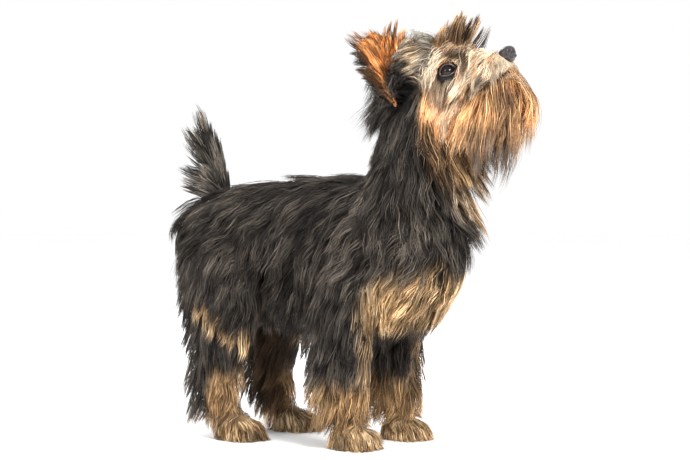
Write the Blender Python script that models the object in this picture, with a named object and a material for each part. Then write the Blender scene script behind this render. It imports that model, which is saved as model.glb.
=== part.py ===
"""A young Yorkshire terrier as a still, life-size model: standing, head raised, tail up.

The dog faces -Y and its left side is +X. Every part of the body is a smooth core, a little thicker
than the skin, with the long coat on it as flat, tapered locks that follow the lie of the hair.
"""

import math
import random
from collections import namedtuple

import bmesh
import bpy
from mathutils import Matrix, Vector
from mathutils.bvhtree import BVHTree

# Driving sizes, in metres.
GAP = 0.0003  # between parts that touch
STANCE = 0.035  # each paw's distance from the middle plane
FRONT_PAW_Y = -0.049
HIND_PAW_Y = 0.051
NOSE_TIP = Vector((0, -0.1600, 0.2765))
HEAD_PITCH = math.radians(34)  # how far the muzzle points above the level
EYE_RADIUS = 0.0062
EYE_SIDE, EYE_BACK, EYE_UP = 0.0184, 0.0425, 0.0130
EAR_SIDE, EAR_BACK, EAR_UP = 0.0235, 0.0785, 0.0290
EAR_HEIGHT = 0.044
EAR_HALF_WIDTH = 0.0165
EAR_WALL = 0.0020
LEG_CLEARANCE = 0.0125  # from the middle plane to the nearest hair of a leg
SEED = 1

HEAD_FORWARD = Vector((0, -math.cos(HEAD_PITCH), math.sin(HEAD_PITCH)))
HEAD_UP = Vector((0, math.sin(HEAD_PITCH), math.cos(HEAD_PITCH)))
SIDEWAYS = Vector((1, 0, 0))
BACKWARD = Vector((0, 1, 0))
DOWN = Vector((0, 0, -1))
LEFT, RIGHT = 1, -1

# A station is a point on a part's centre line, with the half sizes of the skin across it.
Station = namedtuple("Station", "x y z half_side half_depth")

TORSO = (
    Station(0, 0.112, 0.138, 0.019, 0.022),
    Station(0, 0.100, 0.142, 0.031, 0.034),
    Station(0, 0.066, 0.146, 0.036, 0.039),
    Station(0, 0.030, 0.149, 0.037, 0.041),
    Station(0, -0.010, 0.147, 0.039, 0.045),
    Station(0, -0.050, 0.144, 0.040, 0.047),
    Station(0, -0.084, 0.141, 0.035, 0.041),
    Station(0, -0.106, 0.141, 0.021, 0.026),
)
NECK = (
    Station(0, -0.062, 0.150, 0.032, 0.034),
    Station(0, -0.076, 0.180, 0.030, 0.033),
    Station(0, -0.085, 0.208, 0.027, 0.030),
    Station(0, -0.090, 0.232, 0.025, 0.028),
    Station(0, -0.098, 0.246, 0.018, 0.018),
)
TAIL = (
    Station(0, 0.082, 0.160, 0.0080, 0.0090),
    Station(0, 0.095, 0.184, 0.0068, 0.0076),
    Station(0, 0.099, 0.204, 0.0056, 0.0062),
    Station(0, 0.105, 0.220, 0.0044, 0.0048),
    Station(0, 0.111, 0.231, 0.0030, 0.0032),
)

# The head's stations are along its own axes: back from the nose tip, and up.
HeadStation = namedtuple("HeadStation", "back up half_side half_depth")
SKULL = (
    HeadStation(0.0860, 0.0150, 0.0150, 0.0150),
    HeadStation(0.0780, 0.0185, 0.0230, 0.0245),
    HeadStation(0.0640, 0.0205, 0.0262, 0.0280),
    HeadStation(0.0510, 0.0190, 0.0244, 0.0260),
    HeadStation(0.0410, 0.0130, 0.0190, 0.0200),
    HeadStation(0.0315, 0.0045, 0.0135, 0.0130),
    HeadStation(0.0200, 0.0015, 0.0115, 0.0105),
    HeadStation(0.0100, 0.0000, 0.0098, 0.0088),
    HeadStation(0.0060, 0.0000, 0.0065, 0.0060),
)
JAW = (
    HeadStation(0.0640, -0.0020, 0.0130, 0.0080),
    HeadStation(0.0480, -0.0095, 0.0135, 0.0070),
    HeadStation(0.0300, -0.0130, 0.0105, 0.0058),
    HeadStation(0.0150, -0.0135, 0.0085, 0.0052),
    HeadStation(0.0085, -0.0130, 0.0060, 0.0042),
)
NOSE = (
    HeadStation(0.0085, 0.0030, 0.0062, 0.0046),
    HeadStation(0.0055, 0.0030, 0.0073, 0.0056),
    HeadStation(0.0025, 0.0024, 0.0070, 0.0054),
    HeadStation(0.0005, 0.0014, 0.0050, 0.0038),
)
MOUTH_LINE = (  # back from the nose tip, and up
    (0.0010, -0.0082), (0.0120, -0.0088), (0.0230, -0.0092), (0.0330, -0.0080), (0.0400, -0.0050),
)
MOUTH_HALF_GAP = 0.0006
MOUTH_REACH = 0.0300  # of the cutter to each side, past the lips

# Coats: how much of it the core takes up, distance between roots, length of a lock, half its
# width, its thickness, and how far its tip stands off the core.
CORE_DEPTH = {"torso": 0.006, "neck": 0.007, "head": 0.0025, "leg": 0.0045, "tail": 0.0015}
Coat = namedtuple("Coat", "spacing length half_width thickness lift")
TORSO_COAT = Coat(0.0208, 0.048, 0.0122, 0.0040, 0.009)
NECK_COAT = Coat(0.0192, 0.044, 0.0112, 0.0040, 0.014)
SKULL_COAT = Coat(0.0130, 0.025, 0.0082, 0.0030, 0.012)
CHEEK_COAT = Coat(0.0128, 0.044, 0.0086, 0.0030, 0.012)
MOUSTACHE_COAT = Coat(0.0092, 0.032, 0.0058, 0.0024, 0.013)
BEARD_COAT = Coat(0.0104, 0.049, 0.0070, 0.0028, 0.016)
BROW_COAT = Coat(0.0085, 0.025, 0.0046, 0.0020, 0.016)
LEG_COAT = Coat(0.0200, 0.036, 0.0104, 0.0036, 0.008)
TAIL_COAT = Coat(0.0086, 0.026, 0.0050, 0.0022, 0.004)
FRINGE_COAT = Coat(0.0, 0.0125, 0.0034, 0.0014, 0.0)
BELLY_COAT = 0.66  # of the torso's length, for the locks that hang lowest
FETLOCK_COAT = 0.62  # of a leg's length of lock, for those just above its paw
LOCK_RINGS = ((0.0, 0.60), (0.36, 1.0), (0.74, 0.66))  # share of a lock's length, of its width
ROOT_DEPTH = 0.004
MOST_TWIST = math.radians(28)  # of a lock, from one ring to the next
FLOOR_CLEARANCE = 0.0015
PAW_TOP, LEG_COAT_TOP = 0.016, 0.108  # a leg's own locks start between these heights

COLOURS = {
    "black_coat": (0.040, 0.036, 0.035, 1),
    "grey_coat": (0.085, 0.078, 0.074, 1),
    "tan_coat": (0.520, 0.280, 0.120, 1),
    "leg_coat": (0.360, 0.230, 0.120, 1),
    "leather": (0.015, 0.013, 0.013, 1),
    "eye": (0.020, 0.010, 0.006, 1),
}
ROUGHNESS = {"leather": 0.35, "eye": 0.08}
COAT_ROUGHNESS = 0.6


def dress(obj, name):
    """Gives an object its material alone."""
    made = bpy.data.materials.new(name)
    made.use_nodes = True
    shader = made.node_tree.nodes["Principled BSDF"]
    shader.inputs["Base Color"].default_value = COLOURS[name]
    shader.inputs["Roughness"].default_value = ROUGHNESS.get(name, COAT_ROUGHNESS)
    shader.inputs["Metallic"].default_value = 0.0
    obj.data.materials.clear()
    obj.data.materials.append(made)


def head_point(side, back, up):
    """A point of the head, from the nose tip along the head's own axes."""
    return NOSE_TIP + SIDEWAYS * side - HEAD_FORWARD * back + HEAD_UP * up


def head_axes(point):
    """The other way round: a point's side, back and up."""
    offset = point - NOSE_TIP
    return offset.x, -offset.dot(HEAD_FORWARD), offset.dot(HEAD_UP)


def on_head(stations):
    """Head stations as ordinary ones."""
    return [Station(*head_point(0, s.back, s.up), s.half_side, s.half_depth) for s in stations]


def add_object(name, bm):
    """A new mesh object from a bmesh, which is freed. Quads split the same way at every thickness."""
    bmesh.ops.triangulate(bm, faces=bm.faces, quad_method="FIXED")
    bmesh.ops.recalc_face_normals(bm, faces=bm.faces)
    mesh = bpy.data.meshes.new(name)
    bm.to_mesh(mesh)
    bm.free()
    obj = bpy.data.objects.new(name, mesh)
    bpy.context.scene.collection.objects.link(obj)
    return obj


def curve_through(values, steps):
    """Points on a smooth curve through the values, with this many steps between each two."""
    padded = [values[0] * 2 - values[1], *values, values[-1] * 2 - values[-2]]
    points = []
    for i in range(len(values) - 1):
        before, start, end, after = padded[i : i + 4]
        for k in range(steps):
            t = k / steps
            points.append(
                (start * 2 + (end - before) * t
                 + (before * 2 - start * 5 + end * 4 - after) * t * t
                 + (start * 3 - before - end * 3 + after) * t ** 3) * 0.5
            )
    points.append(values[-1])
    return points


def loft(stations, sides, grow=0.0, steps=2, round_end=0.55):
    """A closed bmesh of rings along the stations, thicker than them by grow."""
    centres = curve_through([Vector((s.x, s.y, s.z)) for s in stations], steps)
    sizes = curve_through([Vector((s.half_side, s.half_depth, 0)) for s in stations], steps)
    bm = bmesh.new()
    rings = []
    tangents = []
    for i, centre in enumerate(centres):
        ahead = centres[min(i + 1, len(centres) - 1)]
        behind = centres[max(i - 1, 0)]
        tangent = (ahead - behind).normalized()
        side = (SIDEWAYS - tangent * SIDEWAYS.dot(tangent)).normalized()
        up = tangent.cross(side)
        ring = []
        for k in range(sides):
            angle = math.tau * (k + 0.5) / sides
            out = side * math.cos(angle) * (sizes[i].x + grow)
            out += up * math.sin(angle) * (sizes[i].y + grow)
            ring.append(bm.verts.new(centre + out))
        rings.append(ring)
        tangents.append(tangent)
    for first, second in zip(rings, rings[1:]):
        bridge(bm, first, second)
    for end, sign in ((0, -1), (-1, 1)):
        reach = (min(sizes[end].x, sizes[end].y) * round_end + grow) * sign
        pole = bm.verts.new(centres[end] + tangents[end] * reach)
        ring = rings[end]
        for k in range(sides):
            bm.faces.new((ring[k], ring[(k + 1) % sides], pole))
    return bm


def bridge(bm, first, second):
    """Faces between two closed rings of as many points."""
    count = len(first)
    for k in range(count):
        after = (k + 1) % count
        bm.faces.new((first[k], first[after], second[after], second[k]))


def ball(centre, radii, columns, rows, turn=None):
    """A closed ellipsoid as a bmesh: rings of points between two poles."""
    bm = bmesh.new()
    rings = []
    for i in range(1, rows):
        tilt = math.pi * i / rows
        ring = []
        for k in range(columns):
            angle = math.tau * k / columns
            out = Vector((math.cos(angle), math.sin(angle), 0)) * math.sin(tilt)
            ring.append(bm.verts.new(out + Vector((0, 0, math.cos(tilt)))))
        rings.append(ring)
    for first, second in zip(rings, rings[1:]):
        bridge(bm, first, second)
    for ring, height in ((rings[0], 1), (rings[-1], -1)):
        pole = bm.verts.new((0, 0, height))
        for k in range(columns):
            bm.faces.new((ring[k], ring[(k + 1) % columns], pole))
    place = Matrix.Translation(centre)
    if turn is not None:
        place = place @ turn
    bm.transform(place @ Matrix.Diagonal((*radii, 1)))
    return bm


def facing(direction, up):
    """A turn whose Z axis looks along the direction."""
    z = direction.normalized()
    x = up.cross(z).normalized()
    y = z.cross(x)
    return Matrix((x, y, z)).transposed().to_4x4()


def boolean(obj, pieces, operation):
    """Joins closed pieces to an object, or cuts them from it, and removes them."""
    if not pieces:
        return
    group = bpy.data.collections.new(obj.name + "_pieces")
    bpy.context.scene.collection.children.link(group)
    for piece in pieces:
        bpy.context.scene.collection.objects.unlink(piece)
        group.objects.link(piece)
    modifier = obj.modifiers.new(operation.lower(), "BOOLEAN")
    modifier.operation = operation
    modifier.operand_type = "COLLECTION"
    modifier.collection = group
    modifier.solver = "MANIFOLD"
    graph = bpy.context.evaluated_depsgraph_get()
    mesh = bpy.data.meshes.new_from_object(obj.evaluated_get(graph))
    obj.modifiers.clear()
    obj.data = mesh
    for piece in pieces:
        bpy.data.objects.remove(piece)
    bpy.data.collections.remove(group)


def fused(name, pieces):
    """Joins overlapping closed pieces into one object of this name."""
    first, *rest = pieces
    boolean(first, rest, "UNION")
    first.name = name
    first.data.name = name
    return first


def keep_largest(obj):
    """Keeps only the object's largest closed surface."""
    bm = bmesh.new()
    bm.from_mesh(obj.data)
    unseen = set(bm.faces)
    shells = []
    while unseen:
        shell = []
        front = [unseen.pop()]
        while front:
            face = front.pop()
            shell.append(face)
            for edge in face.edges:
                for other in edge.link_faces:
                    if other in unseen:
                        unseen.remove(other)
                        front.append(other)
        shells.append(shell)
    shells.sort(key=lambda faces: sum(f.calc_area() for f in faces))
    extra = [face for shell in shells[:-1] for face in shell]
    bmesh.ops.delete(bm, geom=extra, context="FACES")
    loose = [v for v in bm.verts if not v.link_faces]
    bmesh.ops.delete(bm, geom=loose, context="VERTS")
    bm.to_mesh(obj.data)
    bm.free()


class Solid:
    """The closed pieces that make a core, for roots on them and distances to them."""

    UPWARD = Vector((0.137, 0.211, 0.968))

    def __init__(self, pieces):
        self.corners = []
        self.trees = []
        for piece in pieces:
            mesh = piece.data
            mesh.calc_loop_triangles()
            triangles = [tuple(t.vertices) for t in mesh.loop_triangles]
            points = [v.co.copy() for v in mesh.vertices]
            self.trees.append(BVHTree.FromPolygons(points, triangles))
            self.corners.append([[points[i] for i in t] for t in triangles])

    def holds(self, point, skip=None):
        """Whether a point is inside any piece, but for the skipped one."""
        for number, tree in enumerate(self.trees):
            if number == skip:
                continue
            crossings = 0
            start = point
            while True:
                place = tree.ray_cast(start, self.UPWARD)[0]
                if place is None:
                    break
                crossings += 1
                start = place + self.UPWARD * 1e-6
            if crossings % 2:
                return True
        return False

    def height(self, point):
        """How far a point is outside, negative inside, and the way out."""
        found = min((tree.find_nearest(point) for tree in self.trees), key=lambda near: near[3])
        place, normal, _, distance = found
        inside = self.holds(point)
        out = point - place
        if distance < 1e-6:
            return 0.0, tuple(normal)
        if inside:
            return -distance, tuple(-out.normalized())
        return distance, tuple(out.normalized())

    def roots(self, spacing, wanted, dice):
        """Roots spread evenly over the surface: no two are closer than the spacing."""
        found = []
        for number, triangles in enumerate(self.corners):
            areas = [(b - a).cross(c - a).length / 2 for a, b, c in triangles]
            tries = int(14 * sum(areas) / spacing ** 2)
            for a, b, c in dice.choices(triangles, weights=areas, k=tries):
                u, v = dice.random(), dice.random()
                if u + v > 1:
                    u, v = 1 - u, 1 - v
                point = a + (b - a) * u + (c - a) * v
                normal = (b - a).cross(c - a).normalized()
                if any((point - other).length < spacing for other, _ in found):
                    continue
                if wanted(point, normal) and not self.holds(point, skip=number):
                    found.append((point, normal))
        return found


Lock = namedtuple("Lock", "points normals half_width thickness")


def combed_lock(root, normal, coat, lie, own, others, keep_off, dice, side=None, reach=None):
    """One lock that follows the lie of the coat over its own core and clear of others."""
    length = coat.length * dice.uniform(0.85, 1.15) * (reach(root) if reach else 1)
    half_width = coat.half_width * dice.uniform(0.88, 1.12)
    sway = dice.uniform(-0.35, 0.35)
    shares = [share for share, _ in LOCK_RINGS] + [1.0]
    point = root.copy()
    points = [root - normal * ROOT_DEPTH]
    normals = [normal.copy()]
    outward = normal.copy()
    for before, share in zip(shares, shares[1:]):
        direction = lie(point, outward, share).normalized()
        direction += outward.cross(direction) * sway * (1 - share)
        if direction.dot(outward) < 0:
            direction -= outward * direction.dot(outward)
        point = point + direction.normalized() * (share - before) * length
        height, near = own.height(point)
        near = Vector(near)
        least = 0.0012 + coat.lift * share ** 0.8
        if height < least:
            point += near * (least - height)
        outward = (outward * 0.3 + near).normalized()
        across = direction.cross(outward).normalized() * half_width * (1.1 - share)
        for other, needed in others:
            clear, away = min(other.height(point + across * k) for k in (0, -1, 1))
            if clear < needed:
                point += Vector(away) * (needed - clear)
                outward = (outward + Vector(away)).normalized()
        for centre, radius in keep_off:
            if (point - centre).length < radius:
                point = centre + (point - centre).normalized() * radius
        if side is not None:
            point.x = side * max(side * point.x, LEG_CLEARANCE)
        point.z = max(point.z, FLOOR_CLEARANCE + 0.004 * (1 - share))
        points.append(point.copy())
        turn = normals[-1].angle(outward, 0)
        if turn > MOST_TWIST:
            outward = normals[-1].slerp(outward, MOST_TWIST / turn)
        normals.append(outward.copy())
    return Lock(points, normals, half_width, coat.thickness)


def bends_gently(lock):
    """Whether a lock keeps its length and doesn't fold back on itself."""
    strokes = [b - a for a, b in zip(lock.points[1:], lock.points[2:])]
    whole = sum(stroke.length for stroke in strokes)
    straight = (lock.points[-1] - lock.points[1]).length
    turns = [a.angle(b, 0) for a, b in zip(strokes, strokes[1:])]
    return straight > 0.6 * whole and max(turns) < math.radians(75)


def grow_coat(solid, coat, lie, wanted, others, dice, keep_off=(), side=None, below=(), reach=None):
    """The locks of one coat over a core, without those that would cross a neighbour's locks."""
    locks = []
    trees = [lock_tree(lock) for lock in below]
    for root, normal in solid.roots(coat.spacing, wanted, dice):
        lock = combed_lock(root, normal, coat, lie, solid, others, keep_off, dice, side, reach)
        if bends_gently(lock) and not any(lock_tree(lock).overlap(tree) for tree in trees):
            locks.append(lock)
    return locks


def lock_tree(lock):
    bm = lock_shape(lock, GAP)
    tree = BVHTree.FromBMesh(bm)
    bm.free()
    return tree


def lock_object(lock, grow=0.0):
    return add_object("lock", lock_shape(lock, grow))


def lock_shape(lock, grow):
    """A flat, tapered lock with a low ridge along its outer side, closed at both ends."""
    bm = bmesh.new()
    points = lock.points
    rings = []
    for k, (_, share) in enumerate(LOCK_RINGS):
        ahead = (points[k + 1] - points[max(k - 1, 0)]).normalized()
        normal = (lock.normals[k] - ahead * lock.normals[k].dot(ahead)).normalized()
        across = ahead.cross(normal) * (lock.half_width * share + 3 * grow)
        centre = points[k]
        if k == 0:
            centre = centre - ahead * grow
        under = centre - normal * grow
        ridge = centre + normal * (lock.thickness * share + 1.5 * grow)
        rings.append([bm.verts.new(corner) for corner in (under + across, ridge, under - across)])
    last = (points[-1] - points[-2]).normalized()
    tip = bm.verts.new(points[-1] + last * 4 * grow)
    for first, second in zip(rings, rings[1:]):
        bridge(bm, first, second)
    bm.faces.new(rings[0])
    for k in range(3):
        bm.faces.new((rings[-1][k], rings[-1][(k + 1) % 3], tip))
    return bm


def torso_pieces(grow=0.0):
    return [add_object("torso", loft(TORSO, 16, CORE_DEPTH["torso"] + grow, steps=1))]


def neck_pieces(grow=0.0):
    return [add_object("neck", loft(NECK, 14, CORE_DEPTH["neck"] + grow, steps=1))]


def tail_pieces(grow=0.0):
    return [add_object("tail", loft(TAIL, 8, CORE_DEPTH["tail"] + grow, steps=1))]


def leg_stations(side, front):
    """One leg's centre line and skin sizes, from inside the body down to the top of its paw."""
    x = side * STANCE
    if front:
        return (
            Station(side * 0.024, -0.056, 0.136, 0.0150, 0.0280),
            Station(side * 0.030, -0.046, 0.112, 0.0155, 0.0240),
            Station(x, -0.040, 0.090, 0.0140, 0.0220),
            Station(x, -0.039, 0.062, 0.0132, 0.0212),
            Station(x, -0.041, 0.040, 0.0122, 0.0188),
            Station(x, -0.045, 0.024, 0.0100, 0.0135),
            Station(x, FRONT_PAW_Y + 0.001, 0.014, 0.0075, 0.0088),
        )
    return (
        Station(side * 0.024, 0.073, 0.142, 0.0165, 0.0320),
        Station(side * 0.031, 0.070, 0.116, 0.0165, 0.0310),
        Station(x, 0.066, 0.090, 0.0142, 0.0260),
        Station(x, 0.070, 0.066, 0.0122, 0.0190),
        Station(x, 0.072, 0.044, 0.0108, 0.0152),
        Station(x, 0.067, 0.026, 0.0094, 0.0122),
        Station(x, HIND_PAW_Y + 0.008, 0.014, 0.0072, 0.0088),
    )


def leg_pieces(side, front, grow=0.0):
    """A leg and its paw, with four toes in front."""
    pieces = [add_object("leg", loft(leg_stations(side, front), 9, CORE_DEPTH["leg"] + grow, steps=1))]
    paw_y = FRONT_PAW_Y if front else HIND_PAW_Y
    middle = Vector((side * STANCE, paw_y + 0.001, 0.0080))
    size = (0.0134 + grow, 0.0165 + grow, 0.0125 + grow)
    pieces.append(add_object("paw", ball(middle, size, 10, 6)))
    for place in (-1.5, -0.5, 0.5, 1.5):
        forward = 0.0145 - abs(place) * 0.0030
        toe = middle + Vector((place * 0.0068, -forward, -0.0013))
        turn = Matrix.Rotation(math.radians(-9 * place), 4, "Z")
        size = (0.0045 + grow, 0.0080 + grow, 0.0063 + grow)
        pieces.append(add_object("toe", ball(toe, size, 6, 5, turn)))
    return pieces


def cut_sole(obj):
    """Flattens the underside of a paw at the floor."""
    bm = bmesh.new()
    bm.from_mesh(obj.data)
    cut = bmesh.ops.bisect_plane(
        bm, geom=bm.verts[:] + bm.edges[:] + bm.faces[:], dist=1e-7,
        plane_co=(0, 0, 0), plane_no=(0, 0, -1), clear_outer=True)
    edges = [e for e in cut["geom_cut"] if isinstance(e, bmesh.types.BMEdge)]
    bmesh.ops.holes_fill(bm, edges=edges)
    bmesh.ops.recalc_face_normals(bm, faces=bm.faces)
    bm.to_mesh(obj.data)
    bm.free()


def eye_centre(side):
    return head_point(side * EYE_SIDE, EYE_BACK, EYE_UP)


def eye_gaze(side):
    """The way an eye looks: ahead, and out to its own side."""
    return (HEAD_FORWARD * 0.60 + SIDEWAYS * side * 0.78 + HEAD_UP * 0.18).normalized()


def head_pieces(grow=0.0):
    """The skull with the muzzle, the lower jaw under it, and the lids round each eye."""
    depth = CORE_DEPTH["head"]
    pieces = [
        add_object("skull", loft(on_head(SKULL), 16, depth + grow, steps=1)),
        add_object("jaw", loft(on_head(JAW), 10, 0.6 * depth + grow, steps=1)),
    ]
    for side in (RIGHT, LEFT):
        radius = EYE_RADIUS + 0.0016 + grow
        pieces.append(add_object("lids", ball(eye_centre(side), (radius,) * 3, 12, 7)))
    return pieces


def eye_cutters():
    """The eyeballs' own room, and the almond openings of the lids."""
    cutters = []
    for side in (RIGHT, LEFT):
        room = EYE_RADIUS + GAP
        gaze = eye_gaze(side)
        front = eye_centre(side) + gaze * (EYE_RADIUS + 0.0012)
        turn = facing(gaze, HEAD_UP)
        cutters.append(add_object("room", ball(eye_centre(side), (room,) * 3, 14, 9, turn)))
        almond = (0.0062, 0.0048, 0.0070)
        cutters.append(add_object("opening", ball(front, almond, 12, 6, turn)))
    return cutters


def mouth_cutter():
    """A thin bent plate along the line of the mouth, all round the muzzle but not through it."""
    bm = bmesh.new()
    rows = []
    for back, up in MOUTH_LINE:
        rows.append([
            bm.verts.new(head_point(side * MOUTH_REACH, back, up + level * MOUTH_HALF_GAP))
            for side, level in ((-1, -1), (1, -1), (1, 1), (-1, 1))
        ])
    for first, second in zip(rows, rows[1:]):
        bridge(bm, first, second)
    bm.faces.new(rows[0])
    bm.faces.new(rows[-1])
    plate = add_object("mouth_line", bm)
    inside = [
        HeadStation(s.back + 0.004, s.up - 0.006, max(s.half_side - 0.003, 0.003), 0.009)
        for s in SKULL[3:-1]
    ]
    boolean(plate, [add_object("inside", loft(on_head(inside), 10, 0, steps=1))], "DIFFERENCE")
    return plate


def ear_base(side):
    return head_point(side * EAR_SIDE, EAR_BACK, EAR_UP)


def ear_axes(side):
    """Up along the ear, across it, and the way its cup opens."""
    up = Vector((side * 0.42, 0.28, 0.865)).normalized()
    opening = Vector((side * 0.70, -0.70, 0.05))
    opening = (opening - up * opening.dot(up)).normalized()
    return up, up.cross(opening), opening


def ear_point(side, share, across, depth):
    """A point of the ear's wall: share of its height, -1 to 1 across, and distance out of its back."""
    up, sideways, opening = ear_axes(side)
    leaf = max(share, 0)
    half = EAR_HALF_WIDTH * (1 - leaf ** 2.1) ** 0.75 * (0.80 + 0.45 * leaf) + 0.0012
    curl = math.radians(112 - 70 * leaf)
    radius = half / curl * 1.25
    angle = curl * across
    level = EAR_HEIGHT * (share - 0.10 * across * across * (1 - leaf))
    bend = opening * (0.004 * math.sin(math.pi * leaf) - 0.006)
    wall = radius + depth
    out = sideways * math.sin(angle) * wall + opening * (radius - math.cos(angle) * wall)
    return ear_base(side) + up * level + bend + out


def ear_pieces(side, grow=0.0):
    """An upright ear as a thin cupped leaf, its root sunk in the head."""
    rows, columns, sunk = 7, 8, 0.22
    thick = EAR_WALL / 2 + grow
    wider = 1 + 2 * grow / EAR_HALF_WIDTH
    bm = bmesh.new()
    grids = []
    for depth in (-thick, thick):
        grid = []
        for i in range(rows + 1):
            share = min((1 + sunk) * i / rows - sunk, 0.985)
            across = [wider * (2 * k / columns - 1) for k in range(columns + 1)]
            grid.append([bm.verts.new(ear_point(side, share, edge, depth)) for edge in across])
        grids.append(grid)
    inner, outer = grids
    for grid in grids:
        for i in range(rows):
            for k in range(columns):
                bm.faces.new((grid[i][k], grid[i][k + 1], grid[i + 1][k + 1], grid[i + 1][k]))
    for i in range(rows):
        for k in (0, columns):
            bm.faces.new((inner[i][k], inner[i + 1][k], outer[i + 1][k], outer[i][k]))
    for k in range(columns):
        for i in (0, rows):
            bm.faces.new((inner[i][k], inner[i][k + 1], outer[i][k + 1], outer[i][k]))
    return [add_object("ear", bm)]


def ear_fringe(side, dice):
    """Locks that lie on the back of an ear and pass its edges, longest on the rear one."""
    up, _, opening = ear_axes(side)
    locks = []
    for edge, shares in ((side, (0.22, 0.44, 0.64, 0.84)), (-side, (0.55, 0.80))):
        for share in shares:
            root = ear_point(side, share - 0.04, edge * 0.60, EAR_WALL * 0.1)
            rim = ear_point(side, share, edge, EAR_WALL * 0.2)
            away = (rim - root).normalized()
            turn = up * (share - 0.1) if share > 0.5 else DOWN * (0.9 - share)
            length = FRINGE_COAT.length * dice.uniform(0.85, 1.2) * (1.0 if edge == side else 0.7)
            first = (away + turn * 0.6 - opening * 0.2).normalized()
            second = (away * 0.7 + turn - opening * 0.3).normalized()
            points = [root, rim, rim + first * length * 0.55]
            points.append(points[-1] + second * length * 0.45)
            normal = (away.cross(up) * edge).normalized()
            if normal.dot(opening) > 0:
                normal = -normal
            locks.append(Lock(points, [normal] * 4, FRINGE_COAT.half_width, FRINGE_COAT.thickness))
    return locks


def nose_piece(grow=0.0):
    return add_object("nose", loft(on_head(NOSE), 10, grow, steps=1, round_end=0.3))


def nostril_cutters():
    """Two round nostrils, each with a slit that runs out to the side."""
    cutters = []
    for side in (RIGHT, LEFT):
        hole = head_point(side * 0.0036, 0.0010, 0.0026)
        inward = facing(HEAD_FORWARD + SIDEWAYS * side * 0.55, HEAD_UP)
        cutters.append(add_object("nostril", ball(hole, (0.0013, 0.0015, 0.0030), 8, 6, inward)))
        slit = head_point(side * 0.0062, 0.0030, 0.0014)
        cutters.append(add_object("slit", ball(slit, (0.0024, 0.0026, 0.0006), 8, 5)))
    return cutters


def body_lie(point, normal, share):
    """Back hair runs to the rear and then down the sides."""
    top = max(normal.z, 0)
    rear = 0.35 if point.y < 0.07 else 0.05
    return DOWN + BACKWARD * (rear + 0.9 * top) + SIDEWAYS * math.copysign(0.45 * top, point.x)


def body_reach(root):
    """The locks under the chest and belly are shorter than those of the back and sides."""
    level = min(max((root.z - 0.105) / 0.045, 0), 1)
    return BELLY_COAT + (1 - BELLY_COAT) * level


def neck_lie(point, normal, share):
    """The ruff falls down and back, and stands forward at the throat."""
    forward = max(-normal.y, 0)
    return DOWN + BACKWARD * (0.30 - 1.0 * forward) + SIDEWAYS * normal.x * 0.25


def skull_lie(point, normal, share):
    return -HEAD_FORWARD + SIDEWAYS * math.copysign(0.35, point.x) + HEAD_UP * (0.5 - 0.8 * share)


def moustache_lie(point, normal, share):
    """Out from the bridge of the nose to each side, ahead at the front, and then down."""
    _, back, _ = head_axes(point)
    out = SIDEWAYS * math.copysign(1.0, point.x)
    return out * 1.1 * (1 - share) + DOWN * (0.35 + share) + HEAD_FORWARD * (0.90 - 30 * back) * (1 - share)


def beard_lie(point, normal, share):
    """Forward from the chin and then down."""
    _, back, _ = head_axes(point)
    ahead = max(1.1 - 30 * back, 0.2)
    out = SIDEWAYS * max(min(point.x * 60, 0.6), -0.6)
    return (-BACKWARD * ahead + out) * (1 - share) + DOWN * (0.45 + 0.9 * share)


def cheek_lie(point, normal, share):
    return DOWN + BACKWARD * 0.22 + SIDEWAYS * math.copysign(0.15, point.x)


def brow_lie(point, normal, share):
    """Up from the forehead and a little forward."""
    return Vector((point.x * 12, -0.55, 0.85))


def leg_lie(point, normal, share):
    behind = max(normal.y, 0)
    return DOWN + BACKWARD * (0.3 * behind + 0.05) + SIDEWAYS * normal.x * 0.1


def leg_reach(root):
    """The locks get shorter towards the paw."""
    level = min(max((root.z - PAW_TOP) / 0.035, 0), 1)
    return FETLOCK_COAT + (1 - FETLOCK_COAT) * level


def tail_lie(point, normal, share):
    """Along the tail in front and at its tip, and out to the rear behind."""
    tip = min(max((point.z - 0.190) / 0.035, 0), 1)
    behind = min(max(0.5 + normal.y, 0), 1) * (1 - 0.6 * tip)
    return Vector((normal.x * 0.3, 0.25 + 0.75 * behind, 1.0 - 0.65 * behind))


def head_coats():
    """Each kind of head hair: its sizes, its lie, and where it grows in the head's axes."""
    def moustache(side, back, up):
        return 0.007 < back < 0.036 and -0.0055 < up < 0.013

    def beard(side, back, up):
        return back < 0.040 and up < -0.0115

    def cheek(side, back, up):
        return back > 0.036 and up < 0.015

    def skull(side, back, up):
        return back > 0.043 and up > 0.015

    def brow(side, back, up):
        return 0.030 < back < 0.043 and up > 0.014 and abs(side) < 0.017

    return (
        (MOUSTACHE_COAT, moustache_lie, moustache), (BEARD_COAT, beard_lie, beard),
        (CHEEK_COAT, cheek_lie, cheek), (SKULL_COAT, skull_lie, skull), (BROW_COAT, brow_lie, brow),
    )


def centre_on_base(nodes):
    """Moves the whole model so that its origin is the middle of its underside."""
    corners = [v.co for node in nodes for v in node.data.vertices]
    low = Vector(min(c[i] for c in corners) for i in range(3))
    high = Vector(max(c[i] for c in corners) for i in range(3))
    shift = Vector((-(low.x + high.x) / 2, -(low.y + high.y) / 2, -low.z))
    for node in nodes:
        node.data.transform(Matrix.Translation(shift))


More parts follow.
